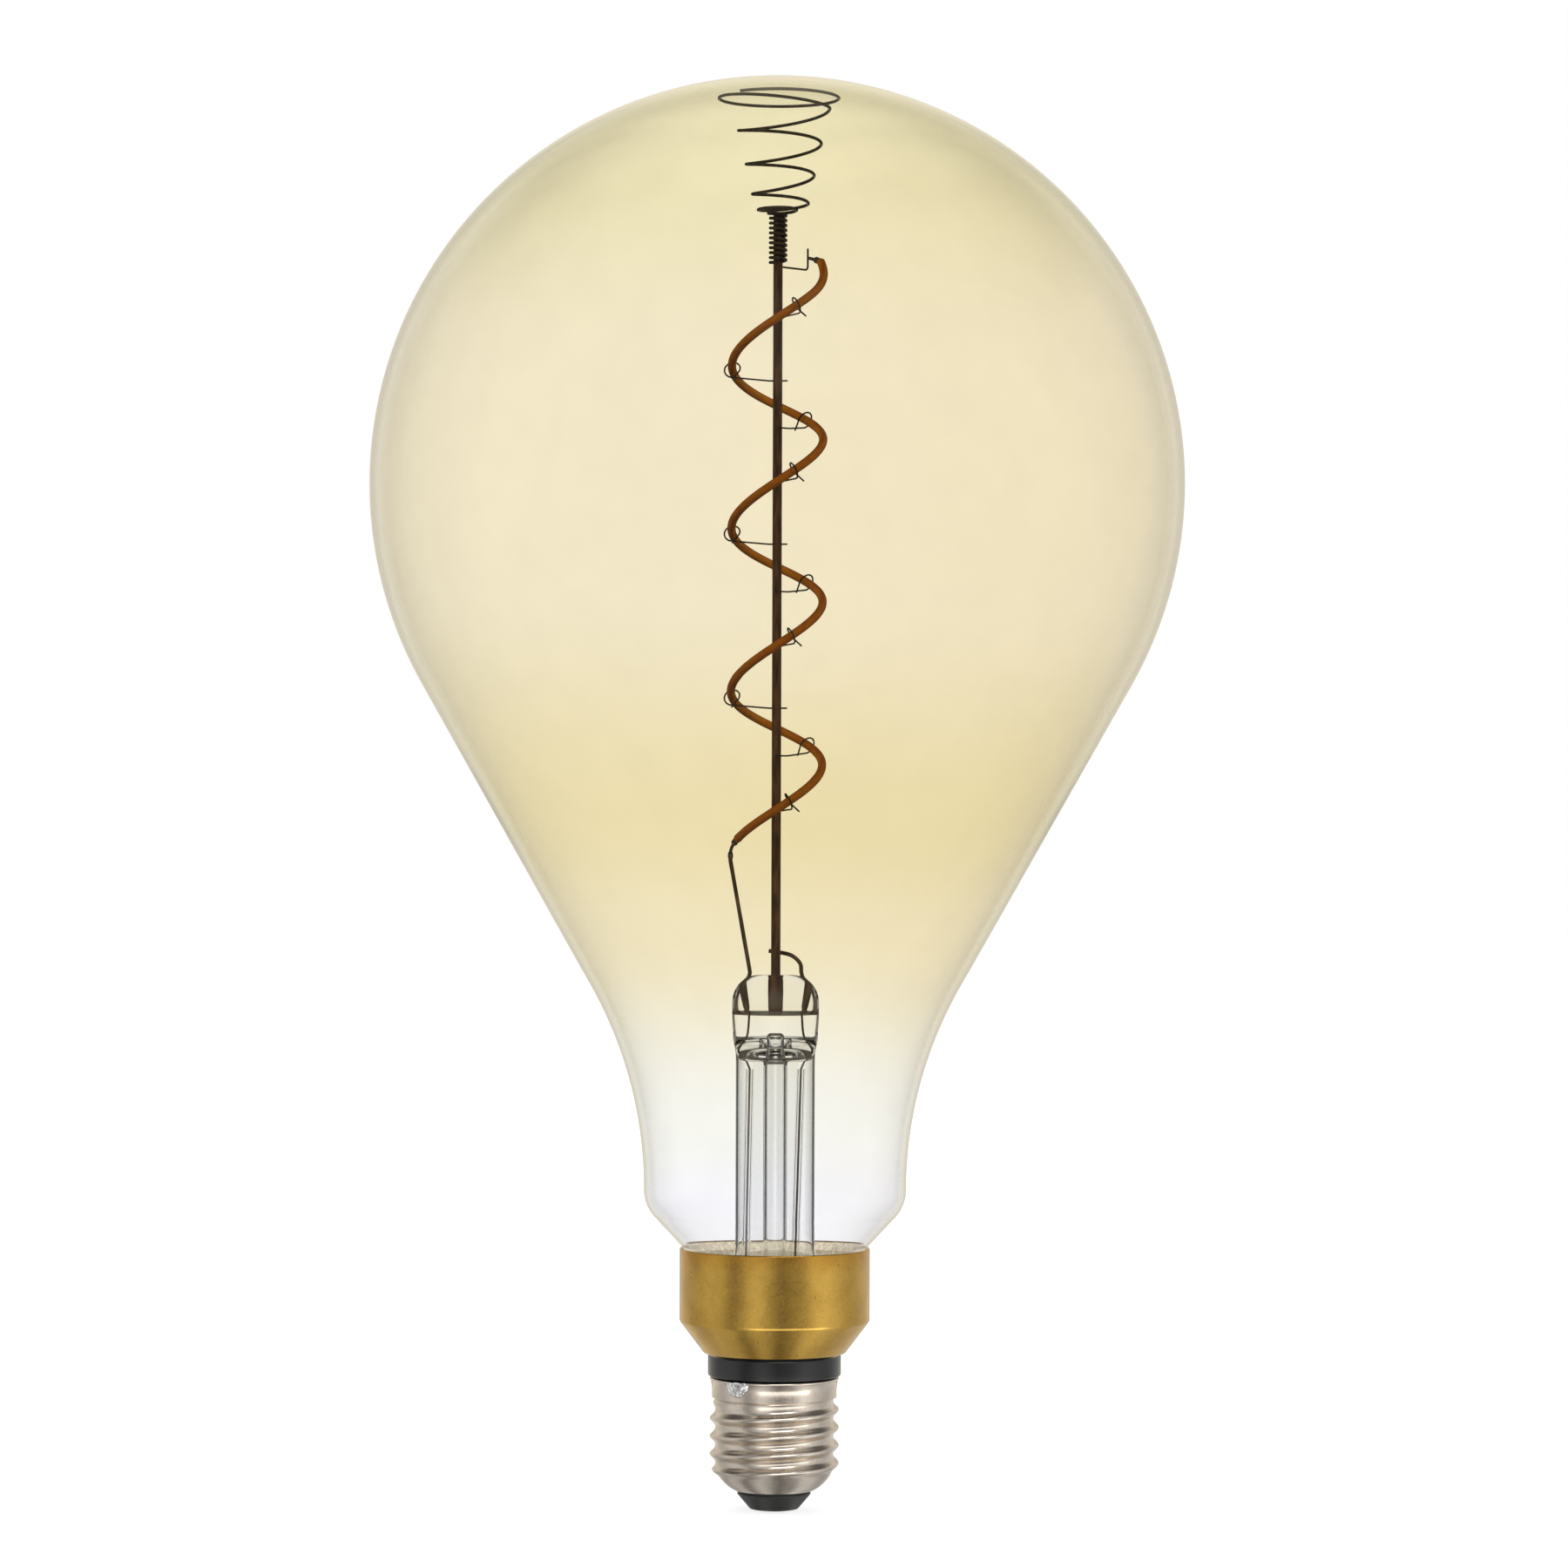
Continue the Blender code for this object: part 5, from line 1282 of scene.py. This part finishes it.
# %% Wind the spring
SPRING_WIRE = 0.33 * MM
SPRING_CLOSE_TURNS = 10
SPRING_PITCH = 1.0 * MM
SPRING_FLANGE_TURNS = 1.5
SPRING_FLANGE_RISE = 1.5 * MM
SPRING_FLANGE_CURVE = 0.6
SPRING_CONE_RADIUS = 5.4 * MM
SPRING_CONE_TOP_RADIUS = 9.75 * MM
SPRING_CONE_TURNS = 3
SPRING_RING_RADIUS = 12.1 * MM
SPRING_RING_TURNS = 1.355
SPRING_RING_DROP = 2.6 * MM
SPRING_LAP_START = 0.5
SPRING_LEAN = 0.7 * MM
SPRING_SLANT = 0.4 * MM
SPRING_STRETCH = 1.13
spring_top = heights("support_spring")[1] - SPRING_WIRE
grip_low = mast_top - SPRING_CLOSE_TURNS * SPRING_PITCH
grip_radius = mast_radius + SEAT_GAP + SPRING_WIRE
growth = (SPRING_CONE_TOP_RADIUS / SPRING_CONE_RADIUS) ** (1 / SPRING_CONE_TURNS)


def spring_point(turn):
    """The left-handed spring's middle line, turn counted from its lower end."""
    flange_turn = turn - SPRING_CLOSE_TURNS
    cone_turn = flange_turn - SPRING_FLANGE_TURNS
    ring_turn = cone_turn - SPRING_CONE_TURNS
    cone_low = mast_top + SPRING_FLANGE_RISE
    cone_top = spring_top - SPRING_RING_DROP
    grown = growth ** min(max(cone_turn, 0), SPRING_CONE_TURNS)
    if flange_turn <= 0:
        radius = grip_radius
        height = grip_low + SPRING_PITCH * turn
    elif cone_turn <= 0:
        share = flange_turn / SPRING_FLANGE_TURNS
        radius = grip_radius + (SPRING_CONE_RADIUS - grip_radius) * share**SPRING_FLANGE_CURVE
        height = mast_top + SPRING_FLANGE_RISE * share
    elif ring_turn <= 0:
        radius = SPRING_CONE_RADIUS * grown
        climbed = (SPRING_STRETCH**cone_turn - 1) / (SPRING_STRETCH**SPRING_CONE_TURNS - 1)
        height = cone_low + (cone_top - cone_low) * climbed
    else:
        eased = ease(ring_turn / SPRING_LAP_START)
        cone_end = SPRING_CONE_RADIUS * grown
        lap = max(0, ring_turn - SPRING_LAP_START) / (SPRING_RING_TURNS - SPRING_LAP_START)
        radius = cone_end + (SPRING_RING_RADIUS - cone_end) * eased + lap * SPRING_WIRE
        height = cone_top + SPRING_RING_DROP * eased
    angle = -math.tau * cone_turn
    in_cone = ease(flange_turn / SPRING_FLANGE_TURNS) * (1 - ease(ring_turn / SPRING_LAP_START))
    side = SPRING_LEAN * in_cone + radius * math.cos(angle)
    height += SPRING_SLANT * in_cone * math.cos(angle)
    return Vector((side, radius * math.sin(angle), height))


POINTS_PER_TURN = 44
spring_turns = SPRING_CLOSE_TURNS + SPRING_FLANGE_TURNS + SPRING_CONE_TURNS + SPRING_RING_TURNS
spring_count = round(spring_turns * POINTS_PER_TURN)
spring_points = [spring_point(spring_turns * i / spring_count) for i in range(spring_count + 1)]
spring = bent_wire("dome_spring", spring_points, SPRING_WIRE)
print(f"spring stands {(spring_top - mast_top) / MM:.1f} mm over the mast")
SPRING_DARK = tone(30, 25, 18)
SPRING_LIGHT = tone(60, 50, 36)
spring_look = dark_steel("spring_steel", SPRING_DARK, SPRING_LIGHT, 0.35)
put_on(spring, spring_look, "oxide_dark_wire", "support_spring")

# %% [markdown]
# ## The LED filament
# The filament is a soft strip of light chips in orange silicone, bent into a helix of a few turns.
# It is a thick wire along a helix, with its upper end lifted towards the terminal. The finish has
# painted shade that darkens the strip's upper and lower edges, and a painted highlight that makes the
# side facing the mast paler, so it reads how far each point is from the lamp's axis.

# %% Wind the filament
COIL_RADIUS = 9.27 * MM
FILAMENT_RADIUS = 0.86 * MM
FILAMENT_TURNS = 3.5
FILAMENT_TOP_ANGLE = math.radians(20)
FILAMENT_TOP_DROP = 11.9 * MM
FILAMENT_FOOT_RISE = 27.1 * MM
FILAMENT_END_LIFT = 1.6 * MM
FILAMENT_LIFT_ANGLE = math.radians(60)
FILAMENT_TILT = 0.09
FILAMENT_END_SLOPE = 0.3
filament_top = mast_top - FILAMENT_TOP_DROP
filament_low = stem_top + FILAMENT_FOOT_RISE
filament_pitch = (filament_top - filament_low) / FILAMENT_TURNS
filament_low_angle = FILAMENT_TOP_ANGLE - FILAMENT_TURNS * math.tau


def filament_point(angle):
    """The right-handed filament's middle line, lifted at its top and carried on past its ends."""
    below_top = max(0, FILAMENT_TOP_ANGLE - angle)
    past_top = max(0, angle - FILAMENT_TOP_ANGLE)
    lift = FILAMENT_END_LIFT * max(0, 1 - below_top / FILAMENT_LIFT_ANGLE) ** 2
    height = filament_top - filament_pitch * below_top / math.tau + lift
    height += FILAMENT_END_SLOPE * COIL_RADIUS * past_top
    height += FILAMENT_TILT * COIL_RADIUS * math.cos(angle)
    return Vector((COIL_RADIUS * math.cos(angle), COIL_RADIUS * math.sin(angle), height))


def coil_angle(length):
    """The angle that a length of filament turns through."""
    return length * math.tau / math.hypot(math.tau * COIL_RADIUS, filament_pitch)


FILAMENT_POINTS = 300
STRIP_TRIM = 2.4 * MM
filament_sweep = FILAMENT_TURNS * math.tau
strip_low_angle = filament_low_angle + coil_angle(STRIP_TRIM)
strip_step = (FILAMENT_TOP_ANGLE - strip_low_angle) / FILAMENT_POINTS
filament_points = [filament_point(strip_low_angle + strip_step * i) for i in range(FILAMENT_POINTS + 1)]
filament = bent_wire("light_filament", filament_points, FILAMENT_RADIUS, roundness=6)
print(f"filament pitch {filament_pitch / MM:.1f} mm")

# %% Finish of the filament


def orange_silicone():
    """Orange silicone over chips, with painted shade at the strip's edges and a painted highlight on its
    inner side, by the distance from the axis.
    """
    finish, tree, shader = new_finish("filament_silicone", 0.5)
    shader.inputs["Specular IOR Level"].default_value = 0.12
    axes = node(tree, "ShaderNodeSeparateXYZ", {0: object_place(tree)})
    flat = node(tree, "ShaderNodeCombineXYZ", {"X": axes.outputs["X"], "Y": axes.outputs["Y"]})
    reach = node(tree, "ShaderNodeVectorMath", {0: flat.outputs[0]}, operation="LENGTH").outputs["Value"]
    low = COIL_RADIUS - FILAMENT_RADIUS
    high = COIL_RADIUS + FILAMENT_RADIUS
    out = between(tree, reach, low, high, 0.0, 1.0)
    # Painted shade and highlight: darkest halfway out, at the strip's upper and lower edges, and palest
    # on the inner side that faces the mast.
    orange_with_painted_shading = ramp(
        tree,
        out,
        (0.00, tone(146, 86, 8)),
        (0.20, tone(128, 71, 0)),
        (0.50, tone(98, 50, 0)),
        (0.80, tone(118, 64, 0)),
        (1.00, tone(126, 70, 0)),
    )
    patch = noise(tree, 1.2 * MM, detail=4.0)
    mottle = ramp(tree, patch, (0.3, grey(0.82)), (0.7, WHITE))
    set_colour(tree, shader, product(tree, orange_with_painted_shading, mottle))
    shader.inputs["Subsurface Weight"].default_value = 0.15
    shader.inputs["Subsurface Radius"].default_value = (0.8 * MM, 0.35 * MM, 0.1 * MM)
    shader.inputs["Subsurface Scale"].default_value = 1.0
    set_bump(tree, shader, patch, 0.02 * MM)
    return finish


put_on(filament, orange_silicone(), "filament_silicone", "led_filament")

# %% [markdown]
# ### Terminals and jumper
# A crimped tin terminal closes each end of the strip. The upper one is joined to the mast by a
# thin jumper wire, bent out and up. The lower one is longer, since the strip stops a little short of
# the coil's end, and its tail ends in a bead that is welded to the left lead.

# %% Make the terminals
CRIMP_RADIUS = 0.65 * MM
CRIMP_PINCH = 0.08
TAIL_RADIUS = 0.35 * MM
UPPER_LENGTH = 4.6 * MM
UPPER_CRIMP_SHARE = 0.5
LOWER_LENGTH = 2.6 * MM + STRIP_TRIM
LOWER_CRIMP_SHARE = 0.28
BEAD_LENGTH = 1.3 * MM
BEAD_STEPS = ((0.2, 1.5), (0.6, 1.6), (0.9, 1.5), (1.0, 1.1))
TERMINAL_STEPS = 24
up = Vector((0, 0, 1))


def terminal_angle(end_angle, length, share):
    """The angle at a share of a terminal, whose length is negative where it runs downwards."""
    way = math.copysign(1, length)
    return end_angle + way * coil_angle(SEAT_GAP) + coil_angle(length) * share


def make_terminal(name, end_angle, length, crimp_share, cad_node, finish, bead=0):
    """A crimp with two pinched rings, which narrows to a tail that may end in a welded bead."""
    shares = [i / TERMINAL_STEPS for i in range(TERMINAL_STEPS + 1)]
    points = [filament_point(terminal_angle(end_angle, length, share)) for share in shares]
    pinch = 2 * math.tau / crimp_share
    tail = TAIL_RADIUS / CRIMP_RADIUS
    pinched = [1 - CRIMP_PINCH * math.sin(pinch * share) for share in shares if share < crimp_share]
    radii = pinched + [tail] * (len(shares) - len(pinched))
    if bead:
        tail_end = points[-1]
        points += [tail_end - up * drop * bead for drop, swell in BEAD_STEPS]
        radii += [tail * swell for drop, swell in BEAD_STEPS]
    put_on(bent_wire(name, points, CRIMP_RADIUS, radii), finish, "terminal_tin", cad_node)
    return points[-1]


def tinned_crimp():
    """Dull tin plate."""
    finish, tree, shader = new_finish("terminal_tin", 0.35, metallic=0.8)
    grain = noise(tree, 0.4 * MM, detail=4.0)
    set_colour(tree, shader, ramp(tree, grain, (0.3, tone(78, 68, 56)), (0.7, tone(128, 116, 100))))
    set_bump(tree, shader, grain, 0.02 * MM)
    return finish


tin = tinned_crimp()
make_terminal(
    "upper_crimp", FILAMENT_TOP_ANGLE, UPPER_LENGTH, UPPER_CRIMP_SHARE, "filament_terminal_top", tin
)
lower_end = make_terminal(
    "lower_crimp",
    strip_low_angle,
    -LOWER_LENGTH,
    LOWER_CRIMP_SHARE,
    "filament_terminal_bottom",
    tin,
    BEAD_LENGTH,
)

# %% Bend the jumper
JUMPER_RADIUS = 0.2 * MM
JUMPER_RISE = 4.4 * MM
JUMPER_BEND_STEPS = 8
WIRE_DARK = tone(28, 23, 16)
WIRE_LIGHT = tone(58, 48, 35)
upper_end_angle = terminal_angle(FILAMENT_TOP_ANGLE, UPPER_LENGTH, 1)
jumper_angle = upper_end_angle + coil_angle(JUMPER_RADIUS + SEAT_GAP)
jumper_out = Vector((math.cos(jumper_angle), math.sin(jumper_angle), 0))
jumper_foot = Vector((0, 0, grip_low - SPRING_WIRE - SEAT_GAP - JUMPER_RADIUS))
bend = 4 * JUMPER_RADIUS
corner = jumper_foot + jumper_out * COIL_RADIUS
turn_steps = [math.pi / 2 * i / JUMPER_BEND_STEPS for i in range(JUMPER_BEND_STEPS + 1)]
jumper_points = [
    jumper_foot + jumper_out * (mast_radius + SEAT_GAP),
    *[corner + (jumper_out * (math.sin(t) - 1) + up * (1 - math.cos(t))) * bend for t in turn_steps],
    corner + up * JUMPER_RISE,
]
jumper = bent_wire("jumper_wire", jumper_points, JUMPER_RADIUS)
jumper_look = dark_steel("jumper_steel", WIRE_DARK, WIRE_LIGHT)
put_on(jumper, jumper_look, "oxide_dark_wire", "top_jumper_wire")

# %% [markdown]
# ### Hooks
# Ten thin hooks, welded across the mast, carry the strip. Each runs past the mast, goes out under
# the strip and most of the way round it, and ends in a short tail. All follow one formula in the
# hook's own directions: out from the mast, along the strip's turn, and up.

# %% Bend the hooks
HOOK_COUNT = 10
HOOK_END_ANGLE = math.radians(86)
HOOK_WIRE = 0.17 * MM
HOOK_STUB = 0.9 * MM
HOOK_DROP = 0.6 * MM
HOOK_TAIL = 2.2 * MM
HOOK_GAP = 0.42 * MM
LOOP_CLEARANCE = 2 * SEAT_GAP
LOOP_START = math.radians(-90)
LOOP_SWEEP = math.radians(300)
LOOP_STEPS = 40


def hook_points(angle):
    """One hook from its stub behind the mast, round the strip at an angle, to its tail."""
    out = Vector((math.cos(angle), math.sin(angle), 0))
    along = Vector((-math.sin(angle), math.cos(angle), 0))
    loop_radius = FILAMENT_RADIUS + HOOK_WIRE + LOOP_CLEARANCE
    step = 2 * HOOK_WIRE + HOOK_GAP
    climb = filament_pitch / (math.tau * COIL_RADIUS)
    over = (up - along * climb).normalized()
    middle = filament_point(angle)
    weld = mast_radius + HOOK_WIRE + SEAT_GAP
    foot = up * (middle.z - loop_radius - HOOK_DROP)
    start = foot - along * weld - out * (mast_radius + HOOK_STUB)
    beside = foot - along * weld + out * 2 * mast_radius
    loop = []
    for i in range(LOOP_STEPS + 1):
        turn = LOOP_START + LOOP_SWEEP * i / LOOP_STEPS
        centre = middle + (along + up * climb) * step * (i / LOOP_STEPS - 0.5)
        loop.append(centre + (out * math.cos(turn) + over * math.sin(turn)) * loop_radius)
    tail = loop[-1] + (loop[-1] - loop[-2]).normalized() * HOOK_TAIL + along * step / 2
    return [start, beside, *loop, tail]


hook_look = dark_steel("hook_steel", WIRE_DARK, WIRE_LIGHT)
hook_sweep = filament_sweep - 2 * HOOK_END_ANGLE
for k in range(HOOK_COUNT):
    hook_angle = FILAMENT_TOP_ANGLE - HOOK_END_ANGLE - hook_sweep * k / (HOOK_COUNT - 1)
    hook = bent_wire(f"strip_hook_{k + 1:02d}", hook_points(hook_angle), HOOK_WIRE)
    put_on(hook, hook_look, "oxide_dark_wire", f"filament_hook_{k + 1:02d}")

# %% [markdown]
# ### Lead-in wires and their sleeves
# Two leads come up through the press. They are thick above their weld in the glass and thin below
# it. The left one reaches the lower terminal, and the right one bends over to the mast. Below the
# press each runs in a clear sleeve down to the driver.

# %% Bend the leads
LEAD_RADIUS = 0.42 * MM
LEAD_THIN = 0.22 * MM
LEAD_SEALED = 0.75 * MM
LEAD_SPREAD = 5.2 * MM
LEAD_LEFT_FOOT = 6.0 * MM
LEAD_RIGHT_FOOT = 3.9 * MM
LEAD_EMBED = 7.5 * MM
LEAD_WELD_RISE = 4.6 * MM
LEAD_STUB = 0.5 * MM
WELD_GAP = 0.01 * MM
LEAD_END = 1.2 * MM
LEAD_BOWS = ((0.92, 0.3 * MM), (0.8, 0.9 * MM), (0.5, 0.7 * MM), (0.15, 0.2 * MM))
LEAD_WAVE = ((0.3 * MM, 4.5 * MM), (1.3 * MM, 7.8 * MM), (0.7 * MM, 9.8 * MM))
LEAD_DARK = tone(46, 34, 20)
LEAD_LIGHT = tone(88, 68, 42)
SLEEVE_DROP = 4 * MM
board_top = heights("driver_board")[1]


def sleeve_ends(side):
    """Where the sleeve of the left lead, -1, or the right one, 1, starts and ends."""
    foot = LEAD_RIGHT_FOOT if side > 0 else LEAD_LEFT_FOOT
    low = Vector((side * foot, 0, board_top + SEAT_GAP))
    high = Vector((side * LEAD_SPREAD, 0, press_low - SLEEVE_DROP))
    return low, high


def make_lead(name, above, side, cad_node, finish):
    """A lead from its points above the glass down through the press and its sleeve."""
    low, high = sleeve_ends(side)
    weld = Vector((side * LEAD_SPREAD, 0, stem_top - LEAD_EMBED))
    sealed = [weld + Vector((side * bow, 0, LEAD_EMBED * share)) for share, bow in LEAD_BOWS]
    knots = [weld + Vector((side * out, 0, -drop)) for out, drop in LEAD_WAVE]
    thin = [*smooth_path([weld, *knots, high]), low, low - up * LEAD_END]
    points = [*above, *sealed, *thin]
    seal = LEAD_SEALED / LEAD_RADIUS
    shares = [1.0] * (len(above) + 1) + [seal, seal, 0.8 * seal]
    shares += [LEAD_THIN / LEAD_RADIUS] * len(thin)
    put_on(bent_wire(name, points, LEAD_RADIUS, shares), finish, "oxide_dark_wire", cad_node)


lead_look = dark_steel("lead_steel", LEAD_DARK, LEAD_LIGHT)
left_top = lower_end - up * WELD_GAP
left_low = Vector((-LEAD_SPREAD, 0, stem_top + LEAD_RADIUS))
left_points = [left_top, left_top - up * LEAD_RADIUS, left_low]
make_lead("left_lead", left_points, -1, "lead_in_left", lead_look)
weld_height = stem_top + LEAD_WELD_RISE
beside_mast = mast_radius + LEAD_RADIUS + SEAT_GAP
right_knots = [
    (-mast_radius - LEAD_STUB, beside_mast, weld_height + LEAD_STUB / 3),
    (0, beside_mast, weld_height),
    (LEAD_SPREAD * 0.6, beside_mast * 0.7, weld_height - LEAD_WELD_RISE * 0.15),
    (LEAD_SPREAD * 0.95, beside_mast * 0.2, weld_height - LEAD_WELD_RISE * 0.5),
    (LEAD_SPREAD, 0, stem_top + LEAD_RADIUS),
]
make_lead("right_lead", smooth_path(right_knots), 1, "lead_in_right", lead_look)

# %% Slip on the sleeves
SLEEVE_WALL = 0.35 * MM


def clear_sleeve():
    """Thin clear tube, a little cloudy."""
    finish, tree, shader = new_finish("sleeve_pale", 0.05, transmission=1.0, ior=1.3)
    cloud = noise(tree, 2 * MM, detail=3.0, stretch=(1, 1, 0.2))
    set_colour(tree, shader, ramp(tree, cloud, (0.3, grey(0.93)), (0.7, grey(0.98))))
    set_roughness(tree, shader, between(tree, cloud, 0.3, 0.7, 0.02, 0.08))
    return finish


sleeve_look = clear_sleeve()
sleeve_bore = LEAD_THIN + SEAT_GAP
for side, side_name in ((-1, "left"), (1, "right")):
    low, high = sleeve_ends(side)
    lean = high - low
    section = [
        (sleeve_bore + SLEEVE_WALL, lean.length),
        (sleeve_bore + SLEEVE_WALL, 0),
        (sleeve_bore, 0),
        (sleeve_bore, lean.length),
    ]
    sleeve = turned_ring(f"clear_sleeve_{side_name}", section, steps=32)
    sleeve.location = low
    sleeve.rotation_euler.y = math.atan2(lean.x, lean.z)
    bpy.ops.object.transform_apply(location=True, rotation=True, scale=False)
    let_light_in(sleeve)
    put_on(sleeve, sleeve_look, "sleeve_pale", f"lead_sleeve_{side_name}")

# %% [markdown]
# ## Inside the cap
# The driver is hidden by the collar and the cap, so its CAD pieces stay as they are. Each still
# gets a finish of its own, in case the cap is ever shown open.

# %% Finish the hidden pieces


def plain_finish(name, dark, light, roughness, metallic=0.0):
    """An even finish with faint clouds in its colour and gloss."""
    finish, tree, shader = new_finish(name, roughness, metallic=metallic)
    cloud = noise(tree, 1.5 * MM, detail=4.0)
    set_colour(tree, shader, ramp(tree, cloud, (0.3, dark), (0.7, light)))
    set_roughness(tree, shader, between(tree, cloud, 0.3, 0.7, roughness - 0.06, roughness + 0.06))
    return finish


hidden_looks = {
    "driver_board": plain_finish("board_green", tone(20, 70, 45), tone(30, 96, 62), 0.45),
    "bridge_rectifier": plain_finish("rectifier_black", grey(0.012), grey(0.02), 0.5),
    "driver_chip": plain_finish("chip_black", grey(0.012), grey(0.02), 0.45),
    "radio_module": plain_finish("radio_blue", tone(20, 40, 92), tone(30, 58, 120), 0.45),
    "radio_shield": plain_finish("shield_steel", grey(0.48), grey(0.60), 0.32, 1.0),
    "smoothing_capacitor": plain_finish("capacitor_sleeve", grey(0.015), grey(0.03), 0.35),
    "driver_inductor": plain_finish("inductor_ferrite", grey(0.03), grey(0.06), 0.7),
    "fusible_resistor": plain_finish("resistor_resin", tone(74, 116, 98), tone(96, 142, 120), 0.5),
    "live_wire": plain_finish("live_red", tone(140, 34, 26), tone(172, 50, 40), 0.4),
    "neutral_wire": plain_finish("neutral_white", grey(0.6), grey(0.72), 0.4),
}
for name, look in hidden_looks.items():
    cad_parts[name].material_slots[0].material = look
print("hidden pieces finished:", len(hidden_looks))
